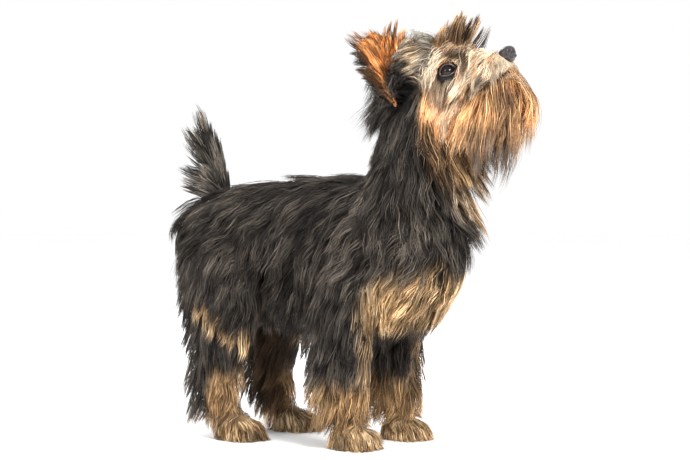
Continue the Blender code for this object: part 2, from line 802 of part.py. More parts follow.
def main():
    for obj in list(bpy.data.objects):
        bpy.data.objects.remove(obj)
    dice = random.Random(SEED)

    makers = {"head": head_pieces, "neck": neck_pieces, "torso": torso_pieces, "tail": tail_pieces}
    sides = {"right": RIGHT, "left": LEFT}
    for word, side in sides.items():
        makers[f"ear_{word}"] = lambda grow=0.0, side=side: ear_pieces(side, grow)
        for place, front in (("front", True), ("hind", False)):
            name = f"leg_{place}_{word}"
            makers[name] = lambda grow=0.0, side=side, front=front: leg_pieces(side, front, grow)
    legs = [name for name in makers if name.startswith("leg")]
    ears = [name for name in makers if name.startswith("ear")]

    pieces = {name: make() for name, make in makers.items()}
    solids = {name: Solid(made) for name, made in pieces.items()}

    def outside(names, margin):
        return lambda point, normal: all(solids[n].height(point)[0] > margin for n in names)

    coats = {}
    coats["torso"] = grow_coat(
        solids["torso"], TORSO_COAT, body_lie, outside(["neck", "tail", *legs], 0.003),
        [(solids[n], 0.0022) for n in ["tail", *legs]], dice, reach=body_reach)
    coats["neck"] = grow_coat(
        solids["neck"], NECK_COAT, neck_lie, outside(["head", "torso"], 0.003),
        [(solids["torso"], 0.0022)], dice)
    coats["tail"] = grow_coat(
        solids["tail"], TAIL_COAT, tail_lie, outside(["torso"], 0.009), [], dice, below=coats["torso"])
    for word, side in sides.items():
        coats[f"ear_{word}"] = ear_fringe(side, dice)
        for place in ("front", "hind"):
            name = f"leg_{place}_{word}"
            clear_of_torso = outside(["torso"], 0.007)

            def wanted(point, normal):
                return PAW_TOP < point.z < LEG_COAT_TOP and clear_of_torso(point, normal)

            coats[name] = grow_coat(
                solids[name], LEG_COAT, leg_lie, wanted, [], dice, side=side, below=coats["torso"],
                reach=leg_reach)

    eyes_and_nose = [(eye_centre(side), 0.0105) for side in (RIGHT, LEFT)]
    eyes_and_nose.append((head_point(0, 0.004, 0.002), 0.0092))
    ear_roots = [(ear_base(side), 0.0135) for side in (RIGHT, LEFT)]
    clear_of_neck = outside(["neck"], 0.002)
    around_head = [(solids["neck"], 0.0022), *((solids[n], 0.0016) for n in ears)]
    coats["head"] = []
    for coat, lie, region in head_coats():
        def wanted(point, normal, region=region):
            if any((point - centre).length < radius for centre, radius in eyes_and_nose + ear_roots):
                return False
            return region(*head_axes(point)) and clear_of_neck(point, normal)
        coats["head"] += grow_coat(
            solids["head"], coat, lie, wanted, around_head, dice, keep_off=eyes_and_nose)

    nodes = {name: fused(name, made) for name, made in pieces.items()}
    boolean(nodes["head"], [mouth_cutter()], "DIFFERENCE")
    for name, node in nodes.items():
        boolean(node, [lock_object(lock) for lock in coats[name]], "UNION")
    boolean(nodes["head"], [*eye_cutters(), nose_piece(GAP)], "DIFFERENCE")

    def thicker(name):
        """A part's pieces, with the same ones thicker by the gap, to cut it from a neighbour."""
        both = []
        for grow in (0.0, GAP):
            both += makers[name](grow) + [lock_object(lock, grow) for lock in coats[name]]
        return both

    for ear in ears:
        proud = fused("proud", thicker(ear))
        boolean(proud, head_pieces(), "DIFFERENCE")
        boolean(nodes["head"], [proud], "DIFFERENCE")
        boolean(nodes[ear], head_pieces(GAP) + thicker("neck"), "DIFFERENCE")
    boolean(nodes["neck"], thicker("head"), "DIFFERENCE")
    boolean(nodes["torso"], thicker("neck") + thicker("head"), "DIFFERENCE")
    boolean(nodes["tail"], thicker("torso"), "DIFFERENCE")
    for name in legs:
        boolean(nodes[name], thicker("torso") + thicker("neck"), "DIFFERENCE")
        cut_sole(nodes[name])

    coat_names = {"neck": "black_coat", "torso": "grey_coat", "tail": "grey_coat"}
    for name, node in nodes.items():
        keep_largest(node)
        dress(node, coat_names.get(name, "leg_coat" if name in legs else "tan_coat"))
    for word, side in sides.items():
        eye = ball(eye_centre(side), (EYE_RADIUS,) * 3, 14, 9, facing(eye_gaze(side), HEAD_UP))
        nodes[f"eye_{word}"] = add_object(f"eye_{word}", eye)
        dress(nodes[f"eye_{word}"], "eye")
    nodes["nose"] = nose_piece()
    boolean(nodes["nose"], nostril_cutters(), "DIFFERENCE")
    dress(nodes["nose"], "leather")
    centre_on_base(nodes.values())
    for name, node in nodes.items():
        node.data.calc_loop_triangles()
        print(name, len(node.data.loop_triangles), "triangles,", len(coats.get(name, ())), "locks")


main()
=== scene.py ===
import math
from collections import namedtuple

import bmesh
import bpy
import numpy as np
from mathutils import Matrix, Vector, noise
from mathutils.bvhtree import BVHTree
from mathutils.kdtree import KDTree


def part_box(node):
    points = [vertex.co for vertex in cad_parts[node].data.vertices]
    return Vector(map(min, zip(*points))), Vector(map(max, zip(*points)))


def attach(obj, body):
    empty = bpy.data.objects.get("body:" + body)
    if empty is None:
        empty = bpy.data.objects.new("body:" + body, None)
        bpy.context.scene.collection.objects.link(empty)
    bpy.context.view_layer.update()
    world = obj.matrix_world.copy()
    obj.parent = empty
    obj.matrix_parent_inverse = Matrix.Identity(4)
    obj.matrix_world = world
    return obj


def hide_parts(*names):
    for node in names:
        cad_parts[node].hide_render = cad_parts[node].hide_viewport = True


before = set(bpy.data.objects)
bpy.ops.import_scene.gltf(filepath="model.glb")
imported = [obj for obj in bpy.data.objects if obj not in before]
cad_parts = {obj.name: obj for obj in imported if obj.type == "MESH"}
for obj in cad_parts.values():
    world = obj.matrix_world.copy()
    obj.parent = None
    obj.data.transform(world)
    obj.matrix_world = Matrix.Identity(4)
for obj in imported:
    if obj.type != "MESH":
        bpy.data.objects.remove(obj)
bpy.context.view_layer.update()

# Sizes, in metres.
STANCE = 0.035
FRONT_PAW_Y, HIND_PAW_Y = -0.049, 0.051
PAW_AHEAD = 0.001
PAW_HEIGHT = 0.0080
PAW_RADII = (0.0118, 0.0150, 0.0105)
TOES = (-1.5, -0.5, 0.5, 1.5)  # their places across a paw
TOE_RADII = (0.0038, 0.0072, 0.0056)
TOE_SPACING, TOE_FORWARD, TOE_BEND, TOE_DROP = 0.0062, 0.0140, 0.0030, 0.0014
TOE_SPLAY = 9  # degrees
CLAW_SPACING, CLAW_FORWARD, CLAW_BEND, CLAW_HEIGHT = 0.0064, 0.0198, 0.0034, 0.0072
CLAW_CURL = 22  # degrees from each ring to the next
CLAW_RINGS = (  # how far ahead of its root, how far down, and radius
    (0, 0, 0.0013), (0.0018, 0.0006, 0.0012), (0.0034, 0.0021, 0.0008), (0.0042, 0.0038, 0.0002),
)
NOSE_TIP = Vector((0, -0.1600, 0.2765))
HEAD_PITCH = math.radians(34)
EYE_RADIUS = 0.0062
EYE_SIDE, EYE_BACK, EYE_UP = 0.0184, 0.0425, 0.0130
SOCKET_WALL = 0.0014
LID_WALL = 0.0010
LID_OPENING = (0.92, 0.80)  # of the eyeball's radius, across and up
RIM_OPENING = (0.82, 0.70)
RIM_RADIUS = 0.00075
NOSE_MIDDLE = (0, 0.003, 0.0025)  # on the head's own axes
BARE_NOSE = 0.0082  # no hair grows this near its middle
NOSTRIL_SIDE, NOSTRIL_UP, NOSTRIL_DEEP = 0.0034, 0.0020, 0.0034
SLIT_BACK, SLIT_UP, SLIT_DEEP = 0.0038, 0.0010, 0.0020
NOSE_GROOVE_DEEP = 0.0006
MOUTH_DEEP = 0.0016
EAR_SIDE, EAR_BACK, EAR_UP = 0.0235, 0.0785, 0.0290
EAR_HEIGHT = 0.041
EAR_HALF_WIDTH = 0.0165
EAR_WALL = 0.0022
EAR_SUNK = 0.22  # of its height, inside the head
SKIN_VOXEL = 0.0015
SOLE = 0.0003  # of the skin, above the floor

HEAD_FORWARD = Vector((0, -math.cos(HEAD_PITCH), math.sin(HEAD_PITCH)))
HEAD_UP = Vector((0, math.sin(HEAD_PITCH), math.cos(HEAD_PITCH)))
SIDEWAYS = Vector((1, 0, 0))
LEFT, RIGHT = 1, -1
SIDES = ((RIGHT, "right"), (LEFT, "left"))


def midline(*rows):
    """Stations on the middle plane, from y, z and the half sizes across and along."""
    return [(0, *row) for row in rows]


TORSO = midline(
    (0.116, 0.137, 0.010, 0.012),
    (0.112, 0.138, 0.019, 0.022),
    (0.100, 0.142, 0.031, 0.034),
    (0.066, 0.146, 0.036, 0.039),
    (0.030, 0.149, 0.037, 0.041),
    (-0.010, 0.147, 0.039, 0.045),
    (-0.050, 0.144, 0.040, 0.047),
    (-0.084, 0.141, 0.035, 0.041),
    (-0.106, 0.141, 0.021, 0.026),
    (-0.111, 0.141, 0.011, 0.014),
)
NECK = midline(
    (-0.062, 0.150, 0.032, 0.034),
    (-0.076, 0.180, 0.030, 0.033),
    (-0.085, 0.208, 0.027, 0.030),
    (-0.090, 0.232, 0.025, 0.028),
    (-0.098, 0.246, 0.018, 0.018),
)
TAIL = midline(
    (0.082, 0.160, 0.0080, 0.0090),
    (0.095, 0.184, 0.0068, 0.0076),
    (0.099, 0.204, 0.0056, 0.0062),
    (0.105, 0.220, 0.0044, 0.0048),
    (0.111, 0.231, 0.0028, 0.0030),
)
# The left legs, from inside the body down into the paw: x, y, z and the two half sizes.
FRONT_LEG = (
    (0.024, -0.056, 0.136, 0.0150, 0.0280),
    (0.030, -0.046, 0.112, 0.0155, 0.0240),
    (STANCE, -0.040, 0.090, 0.0140, 0.0220),
    (STANCE, -0.039, 0.062, 0.0132, 0.0212),
    (STANCE, -0.041, 0.040, 0.0122, 0.0188),
    (STANCE, -0.045, 0.024, 0.0100, 0.0135),
    (STANCE, FRONT_PAW_Y + PAW_AHEAD, 0.012, 0.0075, 0.0088),
)
HIND_LEG = (
    (0.024, 0.073, 0.142, 0.0165, 0.0320),
    (0.031, 0.070, 0.116, 0.0165, 0.0310),
    (STANCE, 0.066, 0.090, 0.0142, 0.0260),
    (STANCE, 0.070, 0.066, 0.0122, 0.0190),
    (STANCE, 0.072, 0.044, 0.0108, 0.0152),
    (STANCE, 0.067, 0.026, 0.0094, 0.0122),
    (STANCE, HIND_PAW_Y + 0.008, 0.012, 0.0072, 0.0088),
)
# Parts of the head: how far back from the nose's tip and up, and the two half sizes.
SKULL = (
    (0.0890, 0.0150, 0.0080, 0.0080),
    (0.0860, 0.0150, 0.0150, 0.0150),
    (0.0780, 0.0185, 0.0230, 0.0245),
    (0.0640, 0.0205, 0.0262, 0.0280),
    (0.0510, 0.0190, 0.0244, 0.0260),
    (0.0410, 0.0130, 0.0190, 0.0200),
    (0.0315, 0.0045, 0.0135, 0.0130),
    (0.0200, 0.0015, 0.0115, 0.0105),
    (0.0100, 0.0000, 0.0098, 0.0088),
    (0.0060, 0.0000, 0.0065, 0.0060),
)
JAW = (
    (0.0640, -0.0020, 0.0130, 0.0080),
    (0.0480, -0.0095, 0.0135, 0.0070),
    (0.0300, -0.0130, 0.0105, 0.0058),
    (0.0150, -0.0135, 0.0085, 0.0052),
    (0.0085, -0.0130, 0.0060, 0.0042),
)
NOSE = (
    (0.0100, 0.0030, 0.0050, 0.0038),
    (0.0085, 0.0030, 0.0062, 0.0046),
    (0.0055, 0.0030, 0.0073, 0.0056),
    (0.0025, 0.0024, 0.0070, 0.0054),
    (0.0005, 0.0014, 0.0050, 0.0038),
    (-0.0004, 0.0012, 0.0026, 0.0020),
)
MOUTH = (  # its line, back and up
    (0.0010, -0.0082), (0.0120, -0.0088), (0.0230, -0.0092), (0.0330, -0.0080), (0.0400, -0.0050),
)


def head_point(side, back, up):
    """A point of the head, from the nose tip along the head's own axes."""
    return NOSE_TIP + SIDEWAYS * side - HEAD_FORWARD * back + HEAD_UP * up


def on_head(rows):
    return [(*head_point(0, back, up), *half_sizes) for back, up, *half_sizes in rows]


def eye_centre(side):
    return head_point(side * EYE_SIDE, EYE_BACK, EYE_UP)


def eye_gaze(side):
    """The way an eye looks: ahead, and out to its own side."""
    return (HEAD_FORWARD * 0.60 + SIDEWAYS * side * 0.78 + HEAD_UP * 0.18).normalized()


def ear_base(side):
    return head_point(side * EAR_SIDE, EAR_BACK, EAR_UP)


def ear_axes(side):
    """Up along the ear, across it, and the way its cup opens."""
    up = Vector((side * 0.42, 0.28, 0.865)).normalized()
    opening = Vector((side * 0.70, -0.70, 0.05))
    opening = (opening - up * opening.dot(up)).normalized()
    return up, up.cross(opening), opening


def ear_point(side, share, across, depth=0.0):
    """A point of the ear's wall: share of its height, -1 to 1 across, and distance out of its back."""
    up, sideways, opening = ear_axes(side)
    leaf = max(share, 0)
    half = EAR_HALF_WIDTH * (1 - leaf ** 2.1) ** 0.75 * (0.80 + 0.45 * leaf) + 0.0012
    curl = math.radians(112 - 70 * leaf)
    radius = half / curl * 1.25
    angle = curl * across
    level = EAR_HEIGHT * (share - 0.10 * across * across * (1 - leaf))
    bend = opening * (0.004 * math.sin(math.pi * leaf) - 0.006)
    wall = radius + depth
    out = sideways * math.sin(angle) * wall + opening * (radius - math.cos(angle) * wall)
    return ear_base(side) + up * level + bend + out


# The solids were moved so that their box is centred: the right eye tells by how much.
eye_low, eye_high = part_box("eye_right")
OFFSET = (eye_low + eye_high) / 2 - eye_centre(RIGHT)


# Shapes.
def add_object(name, data):
    made = bpy.data.objects.new(name, data)
    bpy.context.scene.collection.objects.link(made)
    return made


def add_piece(name, bm, rounded=True):
    """A bmesh made an object."""
    mesh = bpy.data.meshes.new(name)
    bm.to_mesh(mesh)
    bm.free()
    if rounded:
        mesh.shade_smooth()
    return add_object(name, mesh)


def applied(piece):
    """The piece with its modifiers in its mesh."""
    graph = bpy.context.evaluated_depsgraph_get()
    mesh = bpy.data.meshes.new_from_object(piece.evaluated_get(graph))
    piece.modifiers.clear()
    old = piece.data
    piece.data = mesh
    bpy.data.meshes.remove(old)
    return piece


def add_shape(bm, other):
    """Adds a copy of another bmesh's shape."""
    mesh = bpy.data.meshes.new("part")
    other.to_mesh(mesh)
    bm.from_mesh(mesh)
    bpy.data.meshes.remove(mesh)


def curve_through(values, steps):
    """Points on a smooth curve through the values, with this many steps between each two."""
    padded = [values[0] * 2 - values[1], *values, values[-1] * 2 - values[-2]]
    points = []
    for i in range(len(values) - 1):
        before, start, end, after = padded[i : i + 4]
        for k in range(steps):
            t = k / steps
            points.append(
                (start * 2 + (end - before) * t
                 + (before * 2 - start * 5 + end * 4 - after) * t * t
                 + (start * 3 - before - end * 3 + after) * t ** 3) * 0.5
            )
    points.append(values[-1])
    return points


def turned(x, z):
    """A turn with these X and Z axes."""
    return Matrix((x, z.cross(x), z)).transposed().to_4x4()


def facing(direction, up):
    """A turn whose Z axis looks along the direction."""
    z = direction.normalized()
    return turned(up.cross(z).normalized(), z)


def add_tube(bm, rings, sides, closed=False):
    """Circles bridged one to the next: each ring is its place with its turn, and its radius."""
    first, before = None, None
    for i, (place, radius) in enumerate(rings):
        capped = not closed and i in (0, len(rings) - 1)
        made = bmesh.ops.create_circle(bm, cap_ends=capped, segments=sides, radius=radius, matrix=place)
        ring = set(made["verts"])
        edges = [e for e in bm.edges if e.verts[0] in ring and e.verts[1] in ring]
        if before:
            bmesh.ops.bridge_loops(bm, edges=before + edges)
        first, before = first or edges, edges
    if closed:
        bmesh.ops.bridge_loops(bm, edges=before + first)


def add_loft(bm, stations, sides, steps=4):
    """A closed tube of ellipses through the stations: x, y, z and the two half sizes of each."""
    centres = curve_through([Vector(s[:3]) for s in stations], steps)
    sizes = curve_through([Vector((*s[3:], 0)) for s in stations], steps)
    rings = []
    for i, centre in enumerate(centres):
        tangent = centres[min(i + 1, len(centres) - 1)] - centres[max(i - 1, 0)]
        tangent.normalize()
        side = (SIDEWAYS - tangent * SIDEWAYS.dot(tangent)).normalized()
        size = Matrix.Diagonal((sizes[i].x, sizes[i].y, 1, 1))
        rings.append((Matrix.Translation(centre) @ turned(side, tangent) @ size, 1))
    add_tube(bm, rings, sides)


def add_ball(bm, centre, radii, turn=None, columns=16, rows=10):
    place = Matrix.Translation(centre)
    if turn is not None:
        place = place @ turn
    bmesh.ops.create_uvsphere(
        bm, u_segments=columns, v_segments=rows, radius=1, matrix=place @ Matrix.Diagonal((*radii, 1)))


def add_ear(bm, side):
    """An upright leaf, cupped, with a wall of even thickness."""
    leaf = bmesh.new()
    bmesh.ops.create_grid(leaf, x_segments=16, y_segments=16, size=1)
    for vert in leaf.verts:
        share = min((vert.co.y + 1) / 2 * (1 + EAR_SUNK) - EAR_SUNK, 0.985)
        vert.co = ear_point(side, share, vert.co.x, -EAR_WALL / 2)
    bmesh.ops.recalc_face_normals(leaf, faces=leaf.faces)
    bmesh.ops.solidify(leaf, geom=leaf.faces[:], thickness=EAR_WALL)
    add_shape(bm, leaf)
    leaf.free()


def add_leg(bm, side, front):
    """A leg with its paw and four toes."""
    add_loft(bm, [(side * x, *rest) for x, *rest in (FRONT_LEG if front else HIND_LEG)], 18)
    paw_y = FRONT_PAW_Y if front else HIND_PAW_Y
    middle = Vector((side * STANCE, paw_y + PAW_AHEAD, PAW_HEIGHT))
    add_ball(bm, middle, PAW_RADII)
    for place in TOES:
        forward = TOE_FORWARD - abs(place) * TOE_BEND
        toe = middle + Vector((place * TOE_SPACING, -forward, -TOE_DROP))
        turn = Matrix.Rotation(math.radians(-TOE_SPLAY * place), 4, "Z")
        add_ball(bm, toe, TOE_RADII, turn, 12, 8)


def body_parts():
    """Each part of the body as a bmesh of its own."""
    made = {}

    def part(name):
        made[name] = bmesh.new()
        return made[name]

    add_loft(part("torso"), TORSO, 32)
    add_loft(part("neck"), NECK, 28)
    add_loft(part("tail"), TAIL, 14)
    head = part("head")
    add_loft(head, on_head(SKULL), 32)
    add_loft(head, on_head(JAW), 20)
    for side, word in SIDES:
        add_ball(head, eye_centre(side), (EYE_RADIUS + SOCKET_WALL,) * 3, columns=20, rows=12)
        add_ear(part(f"ear_{word}"), side)
        add_leg(part(f"leg_front_{word}"), side, True)
        add_leg(part(f"leg_hind_{word}"), side, False)
    return made


def skin_piece(parts):
    """One closed skin over all the parts."""
    whole = bmesh.new()
    for bm in parts.values():
        add_shape(whole, bm)
    bmesh.ops.recalc_face_normals(whole, faces=whole.faces)
    piece = add_piece("skin", whole, rounded=False)
    grid = piece.modifiers.new("one_surface", "REMESH")
    grid.mode = "VOXEL"
    grid.voxel_size = SKIN_VOXEL
    grid.use_smooth_shade = True
    soft = piece.modifiers.new("soft", "SMOOTH")
    soft.factor = 0.5
    soft.iterations = 3
    return applied(piece)


skin_parts = body_parts()
part_names = list(skin_parts)
part_trees = [BVHTree.FromBMesh(bm) for bm in skin_parts.values()]
skin = skin_piece(skin_parts)
for bm in skin_parts.values():
    bm.free()
print("skin", len(skin.data.vertices), "points")


# Colours of the coat.
def shade(red, green, blue):
    """A colour as the eye names it, in 0 to 255, made linear."""
    return np.array([(v / 255 / 12.92) if v < 11 else ((v / 255 + 0.055) / 1.055) ** 2.4
                     for v in (red, green, blue)])


BLACK = shade(19, 16, 15)
SOOT = shade(104, 95, 86)
GREY = shade(126, 117, 106)
SILVER = shade(198, 188, 170)
EARTH = shade(104, 76, 50)
RUST = shade(150, 92, 46)
TAN = shade(196, 146, 96)
FAWN = shade(186, 150, 106)
PALE = shade(228, 200, 160)
ORANGE = shade(216, 146, 88)
GOLD = shade(240, 192, 140)
AMBER = shade(226, 146, 76)
CREAM = shade(244, 224, 196)
PINK = shade(206, 142, 122)
LID_BROWN = shade(30, 23, 21)
MOUTH_BROWN = shade(40, 24, 22)
PAD_GREY = shade(46, 40, 38)
SIDE_SHARE, FRONT_SHARE = 0.545, 0.839  # of a three-quarter view from the front
OVAL_SOFT = 0.45


def smooth(value, low, high):
    t = np.clip((value - low) / (high - low), 0, 1)
    return t * t * (3 - 2 * t)


def mixed(first, second, share):
    return first + (second - first) * np.asarray(share)[..., None]


def layered(colour, *layers):
    """A colour with others laid over it in turn, each with its share."""
    for over, share in layers:
        colour = mixed(colour, over, share)
    return colour


def ripple(place, scale, seed):
    """Smooth noise from -1 to 1 at each point."""
    shift = Vector((seed * 7.3, seed * 3.1, seed * 5.7))
    return np.array([noise.noise(Vector(p) * scale + shift) for p in place])


# Points on the view from the front quarter, in millimetres, and the noise at each.
Spots = namedtuple("Spots", "across up along beside ragged fine wide")


def oval(at, middle, half_size, rough=0.0):
    """1 inside an oval on the view, fading to 0 past its edge, which rough makes ragged."""
    across = (at.across - middle[0]) / half_size[0]
    up = (at.up + at.ragged * rough - middle[1]) / half_size[1]
    return 1 - smooth(np.hypot(across, up), 1 - OVAL_SOFT, 1 + OVAL_SOFT)


def body_colour(kind, at):
    """The black of the body, tail and legs, with the pale chest, the tan legs and the thigh's stripe."""
    across, up, along, beside, ragged, fine, wide = at
    colour = mixed(BLACK, SOOT, np.clip(0.38 + wide * 0.5 + fine * 0.6, 0, 1))
    fawn = layered(EARTH, (FAWN, smooth(fine, -0.7, 0.1)), (PALE, smooth(fine, 0.0, 0.6)))
    if kind in ("torso", "neck", "leg_front"):
        chest = smooth(up + ragged, 80, 90) * (1 - smooth(up + ragged, 114, 126))
        chest = chest * smooth(across + ragged - (up - 90) * 0.4, 16, 30)
        colour = mixed(colour, fawn, chest * smooth(wide + fine, -1.0, -0.5))
    if kind == "leg_front":
        low = 1 - smooth(up + ragged, 34, 54)
        front = smooth(-along + ragged * 0.6, 58, 68) * (1 - smooth(up, 80, 96)) * 0.8
        brown = layered(EARTH, (FAWN, smooth(fine + wide * 0.5, -0.6, 0.3)), (fawn, 1 - smooth(up, 6, 24)))
        colour = mixed(colour, brown, np.maximum(low, front))
    if kind in ("leg_hind", "torso"):
        away = np.abs(up - 60 - (along - 29) * 0.78 + ragged * 0.5)
        stripe = (1 - smooth(away, 2.5, 6.5)) * smooth(along, 22, 32) * (1 - smooth(along, 72, 82))
        colour = mixed(colour, fawn, stripe * smooth(beside, 26, 34))
    if kind == "leg_hind":
        low = (1 - smooth(along + ragged * 0.8, 64, 74)) * (1 - smooth(up + ragged * 0.4, 44, 58))
        foot = 1 - smooth(up + ragged * 0.4, 14, 22)
        # The inner side of each hind leg goes dark brown: partly darker hair, partly painted shade between
        # the legs.
        inside = (1 - smooth(beside, 24, 33)) * (1 - foot) * 0.85
        brown = layered(
            EARTH, (FAWN, smooth(fine + wide * 0.6, -0.6, 0.2)), (PALE, foot * smooth(fine, -0.2, 0.6)))
        colour = layered(colour, (brown, np.maximum(low, foot)), (EARTH * 0.4, inside))
    if kind == "tail":
        colour = mixed(colour, GREY, smooth(fine + wide, -0.4, 0.6) * 0.55)
    return colour


def throat_colour(colour, at):
    """The grey and tan bib under the beard, which narrows towards the chest."""
    across, up, _, _, ragged, fine, wide = at
    edge = 66 + np.maximum(200 - up, 0) * 0.9
    bib = smooth(across + ragged - edge, 0, 10) * smooth(up + ragged, 150, 164)
    ashy = layered(
        BLACK, (EARTH, smooth(fine, -0.9, -0.3)), (FAWN, smooth(fine + wide * 0.5, -0.3, 0.6)))
    spot = oval(at, (104, 178), (12, 12)) * smooth(fine, 0.0, 0.5)
    return layered(colour, (ashy * 0.82, bib * 0.9), (CREAM, spot))


def face_colour(colour, kind, at):
    """The tan face: each kind of hair first, and then the patches that lie across them."""
    across, up, _, _, ragged, fine, wide = at
    warm = layered(
        TAN, (ORANGE, smooth(wide + fine * 0.6, -0.6, 0.1)), (GOLD, smooth(fine, -0.4, 0.4)))
    pale = layered(
        SOOT, (warm, smooth(fine, -0.9, -0.5)), (CREAM, smooth(fine + wide * 0.6, -0.6, 0.1)))
    silver = mixed(FAWN, SILVER, smooth(wide + fine * 0.5, -0.6, 0.3))
    ashy = layered(SOOT, (GREY, smooth(fine, -0.8, -0.2)), (silver, smooth(fine, -0.4, 0.3)))
    if kind in ("cheek", "skin_head"):
        face = layered(
            warm,
            (mixed(RUST, TAN, smooth(fine, -0.5, 0.3)), 1 - smooth(up + ragged, 196, 214)),
            (ashy, oval(at, (88, 250), (15, 17), 0.5) * 0.85),
            # Painted highlight: a pale cream patch high on the cheek, where light catches the hair.
            (pale, oval(at, (104, 240), (10, 18), 0.5) * 0.8),
            (ORANGE, oval(at, (113, 250), (5, 12)) * 0.6),
            (mixed(AMBER, GOLD, 0.6), oval(at, (84, 225), (16, 18)) * smooth(fine, -0.8, -0.1) * 0.7),
            (CREAM, oval(at, (98, 234), (20, 20)) * smooth(fine, -0.3, 0.4) * 0.75),
            (ashy, oval(at, (72, 272), (9, 17)) * 0.9))
        colour = mixed(colour, face, smooth(across + ragged * 0.6, 64, 74) * smooth(up + ragged, 186, 200))
    if kind == "skull":
        colour = mixed(colour, ashy, smooth(across + ragged * 0.6 - (287 - up) * 0.35, 46, 58))
    if kind in ("moustache", "skin_head"):
        muzzle = layered(
            warm,
            (GOLD, smooth(fine, -0.8, -0.1)),
            (CREAM, smooth(fine + wide * 0.6, -0.8, 0.0) * 0.95),
            # Rust towards the lower edge: partly the muzzle hair's own rust, partly painted shade under the
            # muzzle.
            (mixed(RUST, TAN, smooth(fine, -0.5, 0.4)), 1 - smooth(up + ragged * 0.7, 238, 256)),
            (ORANGE, smooth(across, 146, 154) * 0.6))
        share = smooth(across + ragged * 0.3, 98, 106) if kind == "skin_head" else np.ones(len(up))
        colour = mixed(colour, muzzle, share)
    if kind == "beard":
        beard = layered(
            RUST,
            (TAN, smooth(fine + wide * 0.5, -0.7, 0.0)),
            (GOLD, smooth(fine, -0.1, 0.6)),
            (mixed(SOOT, EARTH, 0.6), oval(at, (126, 236), (9, 17)) * smooth(-fine, -0.5, 0.1) * 0.7),
            (CREAM, oval(at, (149, 256), (9, 11)) * smooth(fine, -0.6, 0.1)),
            (mixed(SOOT, EARTH, smooth(fine, -0.3, 0.3)), 1 - smooth(up + ragged, 210, 230)))
        colour = mixed(colour, beard, smooth(up + ragged, 180, 194))
    if kind == "brow":
        grey = layered(BLACK, (GREY, smooth(fine, -0.5, 0.0)), (SILVER, smooth(wide + fine, 0.0, 0.6)))
        brown = layered(BLACK, (EARTH, smooth(fine, -0.6, -0.2)), (GOLD, smooth(fine, -0.2, 0.5)))
        colour = mixed(grey, brown, 1 - smooth(across + fine * 3, 98, 104))
    if kind != "beard":
        colour = layered(
            colour,
            (mixed(RUST, EARTH, smooth(fine, -0.4, 0.3)), oval(at, (88, 284), (8, 7)) * 0.7),
            (CREAM, oval(at, (75, 267), (6, 12)) * smooth(fine, -0.4, 0.2) * 0.9),
            (BLACK, oval(at, (99, 271), (3, 8)) * 0.9),
            (BLACK, oval(at, (108.5, 257), (2.5, 4)) * 0.9),
            (BLACK, oval(at, (91, 277), (7, 3.5)) * 0.8),
            (RUST, oval(at, (90, 263), (8, 3)) * 0.7),
            (BLACK, oval(at, (55, 253), (5, 22)) * 0.85))
    return colour


def ear_colour(kind, place, speck):
    """The rusty inside of an ear, black at its rear edge, and its black back."""
    fine = ripple(place, 160, 2) * 0.6 + speck
    if kind == "ear_back":
        return mixed(BLACK, SOOT, smooth(fine, -0.3, 0.3))
    light = mixed(AMBER, GOLD, smooth(fine, 0.0, 0.7))
    dark = mixed(RUST, BLACK, smooth(-fine, 0.5, 0.9))
    rear = ear_edge(place) * np.sign(place[:, 0])
    return layered(
        light, (dark, smooth(-fine, 0.1, 0.5)), (BLACK, smooth(rear + fine * 0.25, 0.62, 0.85) * 0.9))


def markings(place, kind, speck):
    """The coat's colour at each point, where speck shifts single strands and locks.

    Both sides are alike, as a three-quarter view from the front shows one.
    """
    if kind.startswith("ear"):
        return ear_colour(kind, place, speck)
    if kind == "foot":
        fore = (place[:, 1] < 0)[:, None]
        return np.where(fore, markings(place, "leg_front", speck), markings(place, "leg_hind", speck))
    across = (-SIDE_SHARE * np.abs(place[:, 0]) - FRONT_SHARE * place[:, 1]) * 1000
    up, along, beside = place[:, 2] * 1000, place[:, 1] * 1000, np.abs(place[:, 0]) * 1000
    wide, fine = ripple(place, 55, 1), ripple(place, 150, 2) * 0.6 + speck
    at = Spots(across, up, along, beside, wide * 6 + fine * 5, fine, wide)
    colour = body_colour(kind, at)
    if kind in ("neck", "cheek", "beard", "skin_head"):
        colour = throat_colour(colour, at)
    if kind in ("cheek", "skull", "moustache", "beard", "brow", "skin_head"):
        colour = face_colour(colour, kind, at)
    return colour


# How the coat lies: each way takes the places, the ways out of the skin, and the share of the length.
def ways(count, side=0.0, back=0.0, up=0.0):
    """One direction for each strand, from its three parts."""
    way = np.zeros((count, 3))
    way[:, 0], way[:, 1], way[:, 2] = side, back, up
    return way


def body_lie(place, outward, share):
    top = np.maximum(outward[:, 2], 0)
    rear = 0.35 + 0.25 * (1 - smooth(place[:, 1], -0.07, -0.04)) - 0.30 * smooth(place[:, 1], 0.06, 0.08)
    stray = ripple(place, 32, 5) * 0.35
    return ways(len(place), 0.45 * top * np.sign(place[:, 0]), rear + stray + 0.9 * top, -1.0)


def neck_lie(place, outward, share):
    forward = np.maximum(-outward[:, 1], 0)
    stray = ripple(place, 32, 5) * 0.30
    return ways(len(place), outward[:, 0] * 0.25, 0.25 - forward + stray, -1.0)


def leg_lie(place, outward, share):
    behind = np.maximum(outward[:, 1], 0)
    stray = ripple(place, 40, 5) * 0.25
    return ways(len(place), outward[:, 0] * 0.1, 0.3 * behind + 0.18 + stray, -1.0)


def foot_lie(place, outward, share):
    return ways(len(place), outward[:, 0] * 0.5, -0.5 + 0.8 * np.maximum(outward[:, 1], 0), -0.9)


def tail_lie(place, outward, share):
    tip = smooth(place[:, 2], 0.190, 0.230)
    behind = np.clip(0.5 + outward[:, 1], 0, 1) * (1 - 0.6 * tip)
    return ways(len(place), outward[:, 0] * 0.3, 0.25 + 0.75 * behind, 1.0 - 0.65 * behind)


